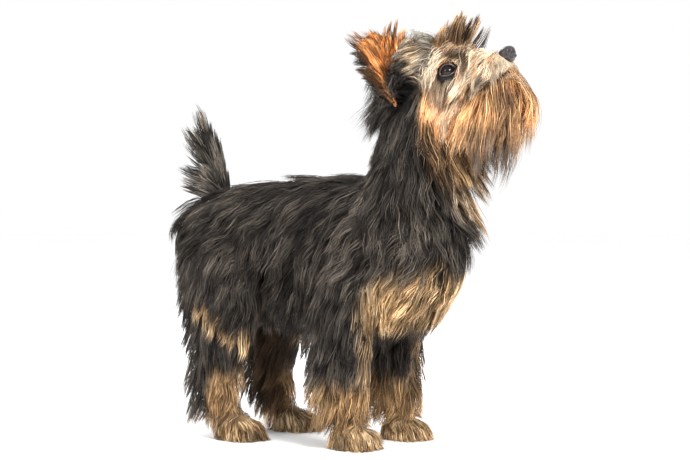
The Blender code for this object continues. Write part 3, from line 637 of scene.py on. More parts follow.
def skull_lie(place, outward, share):
    stray = ripple(place, 60, 5) * 0.3
    out = (0.5 + 0.6 * share) * np.sign(place[:, 0])
    rear = smooth(outward[:, 1], 0.1, 0.6)
    up = (0.9 - 1.9 * share) * (1 - rear) - (0.9 + 0.5 * share) * rear
    return ways(len(place), out * (1 - 0.7 * rear), 0.45 + stray, up)


def cheek_lie(place, outward, share):
    stray = ripple(place, 45, 5) * 0.30
    return ways(len(place), 0.25 * (1 - share) * np.sign(place[:, 0]), 0.16 + stray, -1.0)


def head_axes(place):
    """Each place on the head's own axes: to the side, back from the nose's tip, and up."""
    away = place - np.array(NOSE_TIP)
    return place[:, 0], -away @ np.array(HEAD_FORWARD), away @ np.array(HEAD_UP)


def moustache_lie(place, outward, share):
    _, back, _ = head_axes(place)
    ahead = (0.85 - 58 * back) * (1 - 0.7 * share)
    way = ways(len(place), 1.0 * (1 - share) * np.sign(place[:, 0]), 0.0, -(0.10 + 1.1 * share))
    return way + ahead[:, None] * np.array(HEAD_FORWARD)


def beard_lie(place, outward, share):
    _, back, _ = head_axes(place)
    ahead = np.maximum(1.15 - 30 * back, 0.2) * (1 - share)
    out = np.clip(place[:, 0] * 60, -0.6, 0.6) * (1 - share)
    return ways(len(place), out, 0.26 * share - ahead, -(0.40 + 0.9 * share))


def brow_lie(place, outward, share):
    return ways(len(place), place[:, 0] * 14, -0.45, 0.9)


def ear_lie(side, inside):
    """Up the leaf and out past its edges, mostly the rear one."""
    up, sideways, opening = (np.array(axis) for axis in ear_axes(side))
    base = np.array(ear_base(side))

    def lie(place, outward, share):
        edge = np.clip((place - base) @ sideways / EAR_HALF_WIDTH, -1, 1)
        if inside:
            return up * 0.95 + np.outer(0.75 * edge, sideways) + opening * 0.30
        return up * 0.60 + np.outer(0.95 * edge + 0.15 * side, sideways) - opening * 0.2

    return lie


LIES = {
    "torso": body_lie, "neck": neck_lie, "leg_front": leg_lie, "leg_hind": leg_lie, "foot": foot_lie,
    "tail": tail_lie, "skull": skull_lie, "cheek": cheek_lie, "moustache": moustache_lie,
    "beard": beard_lie, "brow": brow_lie,
}
# A coat: its strands' length, how far their tips stand off, half width, strands to a lock, how much
# they close up at its tip, wave, and rings.
Coat = namedtuple("Coat", "length lift half_width lock close wave rings")
COATS = {
    "torso": Coat(0.040, 0.0130, 0.00034, 13, 0.58, 0.0034, 5),
    "neck": Coat(0.046, 0.0165, 0.00033, 13, 0.58, 0.0030, 5),
    "leg_front": Coat(0.030, 0.0120, 0.00032, 11, 0.58, 0.0020, 4),
    "leg_hind": Coat(0.030, 0.0120, 0.00032, 11, 0.58, 0.0020, 4),
    "foot": Coat(0.015, 0.0050, 0.00025, 8, 0.45, 0.0006, 3),
    "tail": Coat(0.024, 0.0050, 0.00028, 9, 0.66, 0.0006, 4),
    "skull": Coat(0.028, 0.0225, 0.00026, 10, 0.58, 0.0020, 5),
    "cheek": Coat(0.040, 0.0175, 0.00026, 12, 0.60, 0.0030, 5),
    "moustache": Coat(0.030, 0.0165, 0.00022, 11, 0.58, 0.0020, 5),
    "beard": Coat(0.045, 0.0180, 0.00025, 12, 0.60, 0.0028, 5),
    "brow": Coat(0.025, 0.0130, 0.00025, 10, 0.72, 0.0008, 5),
    "ear_inside": Coat(0.018, 0.0060, 0.00024, 9, 0.50, 0.0010, 4),
    "ear_back": Coat(0.012, 0.0035, 0.00024, 9, 0.60, 0.0003, 3),
}
DENSITY = {  # strands on a square millimetre of skin
    "torso": 0.32, "neck": 0.42, "leg": 0.33, "foot": 0.80, "tail": 0.90, "head": 1.20, "ear": 0.95,
}
# Painted shade deep in the coat: the share of each hair's colour kept at its roots.
PAINTED_ROOT_SHADE = {  # of the hair's own colour at its roots, and 0.3 elsewhere
    "moustache": 0.68, "brow": 0.60, "skull": 0.55, "cheek": 0.64, "beard": 0.50, "foot": 0.60,
    "ear_inside": 0.70,
}
WAVE_LENGTH = 0.023
ROOT_SUNK = 0.0010
LEAST_LIFT = 0.0005
PATCH_SIZE, PATCH_EDGE = 0.003, 0.002  # of a strand on the unwrap, and its distance from the border
EYE_CLEAR_SIDE, EYE_CLEAR_UP = 0.0068, 0.0056  # no hair passes in front of this much of an eye
EYE_CLEAR_SPREAD = 0.35  # how fast that widens away from the eye
EYE_CLEAR_AHEAD = 0.04
FOOT_TOP = 0.017
STRAY, STRAY_LIFT = 0.05, 1.4  # this share of the strands stands off further
# Painted highlight and painted shade along each wave of the hair: lighter at its crests, where light would
# catch, and darker between them.
PAINTED_WAVE_SHEEN = 0.38  # lighter and darker along each wave
LOCKS_IN_TUFT = 6
TUFT_CLOSE = 0.45  # of a lock's own closing, towards the middle of its tuft
FLOOR_GAP = 0.0004
CROWN_HALF_WIDTH = 0.044  # the hair of the crown hardly spreads wider
CROWN_SQUEEZE = 0.8
OWN_PLACE = 0.45  # of a strand's colour comes from where each ring is, and the rest from its middle
BODY_TONES, FACE_TONES = 2.2, 1.2  # how far locks and strands differ in lightness


# The skin's own points, and its unwrap.
def unwrap(piece):
    bpy.context.view_layer.objects.active = piece
    piece.select_set(True)
    piece.data.uv_layers.new(name="OFBake")
    bpy.ops.object.mode_set(mode="EDIT")
    bpy.ops.mesh.select_all(action="SELECT")
    bpy.ops.uv.smart_project(angle_limit=math.radians(66), island_margin=0.001)
    bpy.ops.object.mode_set(mode="OBJECT")
    piece.select_set(False)


def array_of(items, name, width, kind=np.float32):
    values = np.empty(len(items) * width, kind)
    items.foreach_get(name, values)
    return values.reshape(-1, width)


def unit(vectors):
    return vectors / np.maximum(np.linalg.norm(vectors, axis=-1, keepdims=True), 1e-9)


def distance(places, spot):
    return np.linalg.norm(places - np.array(spot), axis=1)


def mouth_line(back):
    """How far up the line of the mouth is."""
    return np.interp(back, *zip(*MOUTH))


def eye_turn(side):
    """The eye's own axes as columns: across, up, and where it looks."""
    return np.array(facing(eye_gaze(side), HEAD_UP).to_3x3())


def shape_eyes_and_mouth(piece):
    """Opens the lids over each eyeball, and sinks the line of the mouth."""
    points = array_of(piece.data.vertices, "co", 3).astype(float)
    for side in (RIGHT, LEFT):
        centre = np.array(eye_centre(side))
        out = points - centre
        away = np.linalg.norm(out, axis=1)
        near = away < EYE_RADIUS + 0.006
        way = out[near] / away[near][:, None]
        flat = way @ eye_turn(side)
        opening = np.hypot(flat[:, 0] / LID_OPENING[0], flat[:, 1] / LID_OPENING[1]) + (flat[:, 2] < 0) * 9
        lid = np.maximum(away[near], EYE_RADIUS + LID_WALL)
        reach = lid + (EYE_RADIUS - 0.0016 - lid) * (1 - smooth(opening, 0.92, 1.06))
        points[near] = centre + way * reach[:, None]
    _, back, up = head_axes(points)
    sunk = np.exp(-((up - mouth_line(back)) / 0.0011) ** 2) * (back < 0.038) * (back > -0.01)
    muzzle_middle = np.array(head_point(0, 0.020, -0.009))
    points -= unit(points - muzzle_middle) * (sunk * MOUTH_DEEP)[:, None]
    points[:, 2] = np.maximum(points[:, 2], SOLE)
    piece.data.vertices.foreach_set("co", points.astype(np.float32).ravel())
    piece.data.update()
    return sunk


groove = shape_eyes_and_mouth(skin)
unwrap(skin)
skin.data.calc_loop_triangles()
skin_points = array_of(skin.data.vertices, "co", 3).astype(float)
skin_normals = array_of(skin.data.vertices, "normal", 3).astype(float)
corners = array_of(skin.data.loop_triangles, "vertices", 3, np.int32)
corner_loops = array_of(skin.data.loop_triangles, "loops", 3, np.int32)
unwrapped = array_of(skin.data.uv_layers["OFBake"].data, "uv", 2).astype(float)
skin_tree = BVHTree.FromPolygons(skin_points.tolist(), corners.tolist())


def part_of(points):
    """Which part of the body each point of the skin is on."""
    found = []
    for point in points:
        away = [tree.find_nearest(Vector(point))[3] for tree in part_trees]
        found.append(part_names[away.index(min(away))])
    return np.array(found)


point_parts = part_of(skin_points)


def onto_skin(places):
    """The nearest points of the skin, and the ways out there."""
    near, out = np.empty_like(places), np.empty_like(places)
    for i, place in enumerate(places):
        near[i], out[i], _, _ = skin_tree.find_nearest(Vector(place))
    return near, out


# Growing.
def roots_on_skin(dice):
    """Roots spread over the skin, each with its place, the way out, its part and its place on the unwrap."""
    a, b, c = (skin_points[corners[:, k]] for k in range(3))
    areas = np.linalg.norm(np.cross(b - a, c - a), axis=1) / 2 * 1e6
    parts = point_parts[corners[:, 0]]
    thick = np.array([DENSITY[name.split("_")[0]] for name in parts])
    thick[np.char.startswith(parts, "leg") & (a[:, 2] < FOOT_TOP)] = DENSITY["foot"]
    share = np.cumsum(areas * thick)
    count = int(share[-1])
    spots = (np.arange(count) + dice.random(count)) / count * share[-1]
    faces = np.minimum(np.searchsorted(share, spots), len(parts) - 1)
    u, v = dice.random(count), dice.random(count)
    over = u + v > 1
    u[over], v[over] = 1 - u[over], 1 - v[over]
    weights = np.stack([1 - u - v, u, v], axis=1)[:, :, None]
    place = (skin_points[corners[faces]] * weights).sum(1)
    out = unit((skin_normals[corners[faces]] * weights).sum(1))
    spot = (unwrapped[corner_loops[faces]] * weights).sum(1)
    return place, out, parts[faces], spot


def kinds_of(place, out, parts, dice):
    """Which coat grows from each root, and none at the eyes, the nose, the mouth and the soles."""
    kinds = parts.astype("U12")
    side, back, up = head_axes(place + dice.normal(0, 0.0012, place.shape))
    head = parts == "head"
    kinds[head] = "cheek"
    kinds[head & (back > 0.043) & (up > 0.015)] = "skull"
    kinds[head & (back < 0.036) & (up > -0.0060)] = "moustache"
    kinds[head & (back < 0.041) & (up <= -0.0060)] = "beard"
    kinds[head & (back > 0.031) & (back < 0.043) & (up > 0.0120) & (np.abs(side) < 0.0140)] = "brow"
    for name in ("leg_front", "leg_hind"):
        kinds[np.char.startswith(parts, name)] = name
    kinds[np.char.startswith(parts, "leg") & (place[:, 2] < FOOT_TOP)] = "foot"
    for side, word in SIDES:
        ear = parts == f"ear_{word}"
        opens = out @ np.array(ear_axes(side)[2]) > 0
        kinds[ear] = np.where(opens[ear], "ear_inside", "ear_back")
        kinds[distance(place, eye_centre(side)) < EYE_RADIUS + 0.0006] = ""
    _, back, up = head_axes(place)
    kinds[head & (back < 0.024) & (np.abs(up - mouth_line(back)) < 0.0010)] = ""
    kinds[distance(place, head_point(*NOSE_MIDDLE)) < BARE_NOSE] = ""
    kinds[place[:, 2] < 0.0022] = ""
    return kinds


def ear_edge(place):
    """Where a point lies across its ear, from -1 to 1."""
    edge = np.zeros(len(place))
    for side in (RIGHT, LEFT):
        mine = place[:, 0] * side > 0
        sideways = np.array(ear_axes(side)[1])
        edge[mine] = (place[mine] - np.array(ear_base(side))) @ sideways / EAR_HALF_WIDTH
    return edge


def reach_of(kind, place, out):
    """How much of its length a strand has here: short round the eyes and the nose."""
    share = np.ones(len(place))
    height = place[:, 2]
    _, back, up = head_axes(place)
    if kind == "neck":
        share -= smooth(out[:, 1], 0.1, 0.6) * (0.40 - 0.15 * smooth(height, 0.225, 0.240))
    if kind == "torso":
        share += 0.20 * (1 - smooth(place[:, 1], -0.095, -0.075)) - 0.15 * (1 - smooth(height, 0.100, 0.130))
    if kind == "tail":
        share += 0.45 * smooth(out[:, 1], 0.1, 0.7) * (1 - smooth(height, 0.210, 0.228))
        share *= 1 - 0.5 * smooth(height, 0.205, 0.230) * (1 - smooth(out[:, 2], 0.2, 0.6))
    if kind == "moustache":
        share *= 0.60 + 0.40 * smooth(up - mouth_line(back), 0.0, 0.012)
    if kind == "skull":
        share += 0.5 * smooth(out[:, 1], 0.2, 0.7)
    if kind == "beard":
        share += 0.24 * smooth(back, 0.010, 0.024)
    if kind == "brow":
        share *= 1 - 0.45 * smooth(back, 0.0370, 0.0400)
    if kind in ("skull", "cheek", "moustache", "beard", "brow"):
        eye = np.minimum(distance(place, eye_centre(RIGHT)), distance(place, eye_centre(LEFT)))
        nose = distance(place, head_point(*NOSE_MIDDLE))
        least = 0.5 if kind == "brow" else 0.16
        share *= least + (1 - least) * smooth(eye, 0.0075, 0.0165)
        share *= 0.30 + 0.70 * smooth(nose, 0.0085, 0.0230 if kind == "moustache" else 0.0180)
    if kind.startswith("leg"):
        share *= 0.55 + 0.45 * smooth(height, 0.016, 0.045)
    if kind.startswith("ear"):
        rear = ear_edge(place) * np.sign(place[:, 0])
        edges = np.maximum(smooth(rear, 0.0, 0.5), smooth(-rear, 0.3, 0.7))
        share *= 0.60 + 0.45 * edges
        share *= 1 - (0.35 - 0.25 * edges) * smooth(height, 0.274, 0.287)
    return share


def lift_share(kind, place, out):
    """How far the hair stands off here, as a share of its coat's own lift."""
    share = np.ones(len(place))
    height = place[:, 2]
    if kind == "neck":
        share -= smooth(out[:, 1], 0.1, 0.6) * (0.60 - 0.50 * smooth(height, 0.214, 0.232))
        share += 1.2 * smooth(-out[:, 1], 0.0, 0.6) * smooth(height, 0.165, 0.190)
    if kind == "torso":
        share += 0.5 * smooth(place[:, 1], 0.070, 0.095) * (1 - smooth(height, 0.150, 0.170))
        share += 0.5 * (1 - smooth(place[:, 1], -0.080, -0.055)) * (1 - smooth(height, 0.110, 0.140))
    if kind in ("cheek", "skull"):
        share += 0.25 * smooth(out[:, 1], 0.1, 0.6)
    return share


def nearest_of(places, heads):
    """The number of the head that is nearest to each place."""
    tree = KDTree(len(heads))
    for i, head in enumerate(heads):
        tree.insert(head, i)
    tree.balance()
    return np.array([tree.find(place)[1] for place in places])


def between_rings(points, spots, each=None):
    """Points of the strands at spots between their rings, the same for all or for each its own."""
    low = np.minimum(spots.astype(int), len(points) - 2)
    share = (spots - low)[..., None]
    if each is None:
        return points[low] * (1 - share[:, None]) + points[low + 1] * share[:, None]
    return points[low, each] * (1 - share) + points[low + 1, each] * share


def clear_of_eyes(points):
    """Cuts short the hair that would hang in front of an eye."""
    rings, finer = len(points) - 1, 4
    for side in (RIGHT, LEFT):
        fine = between_rings(points, np.linspace(0, rings, rings * finer + 1))
        flat = (fine - np.array(eye_centre(side))) @ eye_turn(side)
        spread = np.maximum(flat[..., 2] - EYE_RADIUS, 0) * EYE_CLEAR_SPREAD
        away = np.hypot(flat[..., 0] / (EYE_CLEAR_SIDE + spread), flat[..., 1] / (EYE_CLEAR_UP + spread))
        near = (flat[..., 2] > 0) & (away < 1) & (flat[..., 2] < EYE_CLEAR_AHEAD)
        cut = near.any(0)
        kept = np.maximum(near[:, cut].argmax(0) * 0.9, 0.6) / finer / rings
        spots = np.linspace(0, rings, rings + 1)[:, None] * kept[None]
        points[:, cut] = between_rings(points[:, cut], spots, np.arange(len(kept))[None])
    return points


def combed(place, out, lie, shares, length, lift, sway):
    """Each strand's rings along the lie of the hair and off the skin, and the ways out there."""
    points, outs = [place - out * ROOT_SUNK], [out]
    here, outward = place.copy(), out.copy()
    for before, share in zip(shares, shares[1:]):
        along = unit(lie(here, outward, share))
        along += np.cross(outward, along) * (sway * (1.2 - share))[:, None]
        inward = np.minimum((along * outward).sum(1), 0)
        along = unit(along - outward * inward[:, None])
        here = here + along * (length * (share - before))[:, None]
        near, way = onto_skin(here)
        height = ((here - near) * way).sum(1)
        least = LEAST_LIFT + lift * share ** 0.8
        here = here + way * np.maximum(least - height, 0)[:, None]
        outward = unit(outward * 0.35 + way)
        points.append(here)
        outs.append(outward)
    return np.array(points), np.array(outs)


Strands = namedtuple("Strands", "points across ridge wide colour spot shares root_shade")


def strands(kind, place, out, spot, lie, dice):
    """The strands of one coat, gathered in locks and the locks in tufts."""
    coat = COATS[kind]
    count = len(place)
    shares = np.linspace(0, 1, coat.rings + 1)
    locks = max(count // coat.lock, 1)
    tufts = max(locks // LOCKS_IN_TUFT, 1)
    heads = dice.choice(count, locks, replace=False)
    lock = nearest_of(place, place[heads])
    tuft = nearest_of(place[heads], place[heads[:tufts]])[lock]

    def by_tuft(draw, *span):
        return draw(*span, tufts)[tuft]

    def by_lock(draw, *span):
        return draw(*span, locks)[lock]

    def by_strand(draw, *span):
        return draw(*span, count)

    even, bell = dice.uniform, dice.normal
    length = coat.length * reach_of(kind, place, out) * by_tuft(even, 0.82, 1.08)
    length *= by_lock(even, 0.86, 1.08) * by_strand(even, 0.74, 1.12)
    lift = coat.lift * by_tuft(even, 0.45, 1.1) * by_lock(even, 0.6, 1.1)
    lift *= by_strand(even, 0.5, 1.1) * np.clip(length / coat.length, 0.2, 1)
    lift *= np.where(dice.random(count) < STRAY, STRAY_LIFT, 1.0) * lift_share(kind, place, out)
    sway = by_tuft(bell, 0, 0.20) + by_lock(bell, 0, 0.14) + by_strand(bell, 0, 0.10)
    phase = by_tuft(even, 0, math.tau) + by_lock(bell, 0, 0.5) + by_strand(bell, 0, 0.3)
    points, outs = combed(place, out, lie, shares, length, lift, sway)
    aim = np.gradient(points, axis=0)
    across = unit(np.cross(aim, outs))
    ridge = unit(np.cross(across, aim))
    turn = phase + shares[:, None] * length / WAVE_LENGTH * math.tau
    points += across * (np.sin(turn) * coat.wave * shares[:, None])[:, :, None]
    tips = shares[:, None, None] ** 1.2
    points += (points[:, heads[tuft]] - points) * (TUFT_CLOSE * coat.close * tips)
    close = coat.close * by_strand(even, 0.7, 1.1)[None, :, None] * tips
    points += (points[:, heads[lock]] - points) * close
    points = clear_of_eyes(points)
    if kind == "skull":
        wider = np.maximum(np.abs(points[:, :, 0]) - CROWN_HALF_WIDTH, 0)
        points[:, :, 0] -= np.sign(points[:, :, 0]) * wider * CROWN_SQUEEZE
    points[:, :, 2] = np.maximum(points[:, :, 2], FLOOR_GAP)
    wide = coat.half_width * by_strand(even, 0.75, 1.25) * np.clip(length / coat.length, 0.45, 1)
    speck = np.tile(by_lock(bell, 0, 0.20) + by_strand(bell, 0, 0.30), len(points))
    seen = points * OWN_PLACE + points[len(points) // 2][None] * (1 - OWN_PLACE)
    colour = markings(seen.reshape(-1, 3), kind, speck).reshape(points.shape)
    tones = BODY_TONES if kind in ("torso", "neck", "tail") else FACE_TONES
    tone = by_lock(bell, 1.0, 0.13 * tones) * by_strand(bell, 1.0, 0.16 * tones)
    tone *= by_tuft(bell, 1.0, 0.11 * tones)
    # Painted highlight and shade: each ring lighter or darker by where it lies on its wave.
    painted_crest_light = 1 + PAINTED_WAVE_SHEEN * np.cos(turn)
    colour = colour * (np.clip(tone, 0.30, 2.0) * painted_crest_light)[:, :, None]
    return Strands(points, across, ridge, wide, colour, spot, shares, PAINTED_ROOT_SHADE.get(kind, 0.30))


def paint(mesh, colours):
    """Keeps a colour for each point, which the materials of the hair and the skin show."""
    shown = mesh.attributes.new("coat_colour", "FLOAT_COLOR", "POINT")
    filled = np.column_stack([colours, np.ones(len(colours))])
    shown.data.foreach_set("color", filled.astype(np.float32).ravel())


def coat_piece(name, groups, material):
    """Joins groups of strands in one mesh: each is a closed, three-sided, tapered tube with a low ridge."""
    points, quads, tris, colours, spots = [], [], [], [], []
    start = 0
    for group in groups:
        rings, count = len(group.points) - 1, len(group.wide)
        full = np.interp(group.shares[:-1], [0, 0.3, 0.75, 1], [0.7, 1.0, 0.8, 0.2])
        wide = (full[:, None] * group.wide[None])[:, :, None]
        body, across, ridge = group.points[:-1], group.across[:-1], group.ridge[:-1]
        sides = np.stack([body + across * wide, body + ridge * wide * 0.75, body - across * wide], axis=2)
        sides = sides.transpose(1, 0, 2, 3).reshape(count, rings * 3, 3)
        points.append(np.concatenate([sides, group.points[-1][:, None]], axis=1).reshape(-1, 3))
        each = rings * 3 + 1
        base = start + np.arange(count)[:, None, None] * each
        ring_quads = [[r * 3 + k, r * 3 + (k + 1) % 3, r * 3 + 3 + (k + 1) % 3, r * 3 + 3 + k]
                      for r in range(rings - 1) for k in range(3)]
        last = each - 4
        end_tris = [[last + k, last + (k + 1) % 3, last + 3] for k in range(3)] + [[2, 1, 0]]
        quads.append((base + np.array(ring_quads)[None]).reshape(-1, 4))
        tris.append((base + np.array(end_tris)[None]).reshape(-1, 3))
        level = np.append(np.repeat(group.shares[:-1], 3), 1.0)
        # Painted shade and painted light along each strand: darker at the root, deep in the coat, and
        # lighter than its own colour at the tip.
        light = np.interp(level, [0, 0.4, 1], [group.root_shade, 0.90, 1.25])[:, None, None]
        ring_of = np.append(np.repeat(np.arange(rings), 3), rings)
        colours.append((group.colour[ring_of] * light).transpose(1, 0, 2).reshape(-1, 3))
        corner = np.append(np.tile([0, 0.5, 1], rings), 0.5) - 0.5
        patch = np.stack([corner, level - 0.5], axis=1) * PATCH_SIZE
        spot = np.clip(group.spot, PATCH_EDGE, 1 - PATCH_EDGE)
        spots.append((spot[:, None] + patch[None]).reshape(-1, 2))
        start += count * each
    points, quads, tris, colours, spots = (np.concatenate(x) for x in (points, quads, tris, colours, spots))
    mesh = bpy.data.meshes.new(name)
    mesh.vertices.add(len(points))
    mesh.vertices.foreach_set("co", points.astype(np.float32).ravel())
    ring = np.concatenate([quads.ravel(), tris.ravel()]).astype(np.int32)
    totals = np.repeat([4, 3], [len(quads), len(tris)])
    mesh.loops.add(len(ring))
    mesh.loops.foreach_set("vertex_index", ring)
    mesh.polygons.add(len(totals))
    mesh.polygons.foreach_set("loop_start", (np.cumsum(totals) - totals).astype(np.int32))
    mesh.polygons.foreach_set("loop_total", totals.astype(np.int32))
    mesh.polygons.foreach_set("use_smooth", np.ones(len(totals), bool))
    mesh.update(calc_edges=True)
    paint(mesh, colours)
    mesh.uv_layers.new(name="OFBake").data.foreach_set("uv", spots[ring].astype(np.float32).ravel())
    mesh.materials.append(material)
    print(name, sum(len(g.wide) for g in groups), "strands", len(quads) * 2 + len(tris), "triangles")
    return add_object(name, mesh)


# Materials.
def feed(tree, node, inputs):
    """Gives each input its value, or links it to another node's output."""
    for title, value in inputs.items():
        if isinstance(value, bpy.types.NodeSocket):
            tree.links.new(value, node.inputs[title])
        else:
            node.inputs[title].default_value = value


def add_node(tree, kind, inputs, **settings):
    node = tree.nodes.new(f"ShaderNode{kind}")
    for title, value in settings.items():
        setattr(node, title, value)
    feed(tree, node, inputs)
    return node


def calculated(tree, operation, *values):
    return add_node(tree, "Math", dict(enumerate(values)), operation=operation).outputs[0]


def new_group(name, inputs, outputs):
    """A node group with its inputs' own values, what it is given, and what it puts out."""
    def kind(title):
        return "NodeSocketColor" if title == "Colour" else "NodeSocketFloat"

    group = bpy.data.node_groups.new(name, "ShaderNodeTree")
    for title, value in inputs.items():
        socket = group.interface.new_socket(name=title, in_out="INPUT", socket_type=kind(title))
        socket.default_value = value
    for title in outputs:
        group.interface.new_socket(name=title, in_out="OUTPUT", socket_type=kind(title))
    return group, group.nodes.new("NodeGroupInput").outputs, group.nodes.new("NodeGroupOutput")


def hair_streak_group():
    """Fine light and dark along the hair, and a roughness that follows it."""
    group, given, made = new_group(
        "hair_streaks", {"Colour": (0.5, 0.5, 0.5, 1), "Scale": 400.0, "Contrast": 0.3, "Roughness": 0.5},
        ("Colour", "Roughness"))
    place = add_node(group, "TexCoord", {}).outputs["Object"]
    grain = add_node(group, "TexNoise", {"Detail": 2.0, "Vector": place, "Scale": given["Scale"]})
    centred = calculated(group, "SUBTRACT", grain.outputs["Fac"], 0.5)
    strength = calculated(group, "MULTIPLY_ADD", centred, given["Contrast"], 1.0)
    toned = add_node(group, "VectorMath", {0: given["Colour"], "Scale": strength}, operation="SCALE")
    rough = calculated(group, "MULTIPLY_ADD", centred, 0.25, given["Roughness"])
    feed(group, made, {"Colour": toned.outputs[0], "Roughness": rough})
    return group


def grain_group():
    """Pores or pebbles of skin: a height for a bump, and a mask of its hollows."""
    group, given, made = new_group("skin_grain", {"Scale": 1500.0, "Fine": 0.3}, ("Height", "Hollows"))
    placed = {"Vector": add_node(group, "TexCoord", {}).outputs["Object"], "Scale": given["Scale"]}
    cells = add_node(group, "TexVoronoi", placed, feature="SMOOTH_F1").outputs["Distance"]
    grain = add_node(group, "TexNoise", placed).outputs["Fac"]
    height = calculated(group, "MULTIPLY_ADD", grain, given["Fine"], cells)
    feed(group, made, {"Height": height, "Hollows": cells})
    return group


HAIR_STREAKS = hair_streak_group()
SKIN_GRAIN = grain_group()


def new_material(name):
    made = bpy.data.materials.new(name)
    made.use_nodes = True
    return made, made.node_tree, made.node_tree.nodes["Principled BSDF"]


def add_group(tree, group, **inputs):
    node = tree.nodes.new("ShaderNodeGroup")
    node.node_tree = group
    feed(tree, node, inputs)
    return node.outputs


def add_ramp(tree, mask, first, last, *between):
    """Colours along a mask from 0 to 1, with others between them at their own places."""
    node = add_node(tree, "ValToRGB", {"Fac": mask})
    stops = node.color_ramp.elements
    stops[0].color, stops[1].color = (*first, 1), (*last, 1)
    for position, colour in between:
        stops.new(position).color = (*colour, 1)
    return node.outputs["Color"]


def streaked_material(name, scale, contrast, roughness, specular, colour=None):
    """Streaks over one colour, or over the colour that each point of the mesh keeps."""
    made, tree, shader = new_material(name)
    if colour is None:
        shown = add_node(tree, "Attribute", {}, attribute_name="coat_colour").outputs["Color"]
    else:
        shown = (*colour, 1)
    streaks = add_group(
        tree, HAIR_STREAKS, Colour=shown, Scale=scale, Contrast=contrast, Roughness=roughness)
    feed(tree, shader, {"Base Color": streaks["Colour"], "Roughness": streaks["Roughness"],
                        "Specular IOR Level": specular})
    return made, tree, shader


def bare_material(name, scale, fine, light, dark, finish):
    """Bare skin, darker in its hollows."""
    made, tree, shader = new_material(name)
    grain = add_group(tree, SKIN_GRAIN, Scale=scale, Fine=fine)
    feed(tree, shader, {"Base Color": add_ramp(tree, grain["Hollows"], light, dark), **finish})
    return made, tree, shader, grain["Height"]


def add_bump(tree, shader, height, strength, distance, invert=False):
    inputs = {"Height": height, "Strength": strength, "Distance": distance}
    bump = add_node(tree, "Bump", inputs, invert=invert)
    feed(tree, shader, {"Normal": bump.outputs["Normal"]})


def skin_material():
    made, tree, shader = streaked_material("skin", 900.0, 0.7, 0.7, 0.3)
    grain = add_group(tree, SKIN_GRAIN, Scale=1400.0, Fine=0.5)
    add_bump(tree, shader, grain["Height"], 0.4, 0.0004)
    return made


def leather_material():
    made, tree, shader, height = bare_material(
        "nose_leather", 1500.0, 0.3, shade(60, 53, 52), shade(12, 10, 10),
        {"Roughness": 0.32, "Specular IOR Level": 0.35, "Coat Weight": 0.25, "Coat Roughness": 0.15})
    add_bump(tree, shader, height, 0.6, 0.0003, invert=True)
    return made


def rim_material():
    return bare_material(
        "lid_rim", 2600.0, 0.4, shade(54, 38, 34), shade(26, 20, 19),
        {"Roughness": 0.35, "Coat Weight": 0.5, "Coat Roughness": 0.1})[0]


def eye_material():
    """Rings of colour by the angle from where the eye looks: pupil, iris, its dark edge and the white."""
    made, tree, shader = new_material("eye")
    turned_away = add_node(tree, "Attribute", {}, attribute_name="off_gaze").outputs["Fac"]
    rings = add_ramp(
        tree, turned_away, (0.002, 0.002, 0.002), shade(70, 52, 44),
        (0.30, (0.003, 0.002, 0.002)), (0.36, shade(30, 17, 10)), (0.58, shade(40, 23, 13)),
        (0.70, shade(16, 10, 8)), (0.84, shade(30, 20, 16)))
    feed(tree, shader, {"Base Color": rings, "Roughness": 0.04, "Specular IOR Level": 0.35})
    return made


# Eyes, lids, nose and claws.
def eye_piece(side, name):
    """An eyeball with a clear bulge in front, which knows how far each point is off its gaze."""
    bm = bmesh.new()
    centre, gaze = eye_centre(side), eye_gaze(side)
    add_ball(bm, centre, (EYE_RADIUS - 0.0001,) * 3, facing(gaze, HEAD_UP), 48, 32)
    off_gaze = []
    for vert in bm.verts:
        out = vert.co - centre
        angle = out.angle(gaze)
        bulge = 0.00045 * float(smooth(-angle, -0.72, -0.30))
        vert.co = centre + out.normalized() * (out.length + bulge)
        off_gaze.append(min(angle / 1.4, 1))
    bmesh.ops.recalc_face_normals(bm, faces=bm.faces)
    piece = add_piece(name, bm)
    kept = piece.data.attributes.new("off_gaze", "FLOAT", "POINT")
    kept.data.foreach_set("value", np.array(off_gaze, np.float32))
    return piece


def lid_rims():
    """The bare rim of the lids: a soft ring that follows the almond of each opening."""
    bm = bmesh.new()
    steps, step_ahead = 40, 0.02

    def way(turn, angle, pinch):
        across = RIM_OPENING[0] * math.cos(angle) * pinch
        flat = Vector((across, RIM_OPENING[1] * math.sin(angle), 0))
        flat.z = math.sqrt(max(1 - flat.x ** 2 - flat.y ** 2, 0.04))
        return (turn @ flat).normalized()

    for side in (RIGHT, LEFT):
        turn = facing(eye_gaze(side), HEAD_UP)
        rings = []
        for i in range(steps):
            angle = math.tau * i / steps
            pinch = 1 + 0.10 * math.cos(2 * angle)
            out = way(turn, angle, pinch)
            tangent = (way(turn, angle + step_ahead, pinch) - out).normalized()
            place = Matrix.Translation(eye_centre(side) + out * (EYE_RADIUS + 0.0004))
            rings.append((place @ turned(out, tangent), RIM_RADIUS))
        add_tube(bm, rings, 8, closed=True)
    bmesh.ops.recalc_face_normals(bm, faces=bm.faces)
    return add_piece("lid_rims", bm)


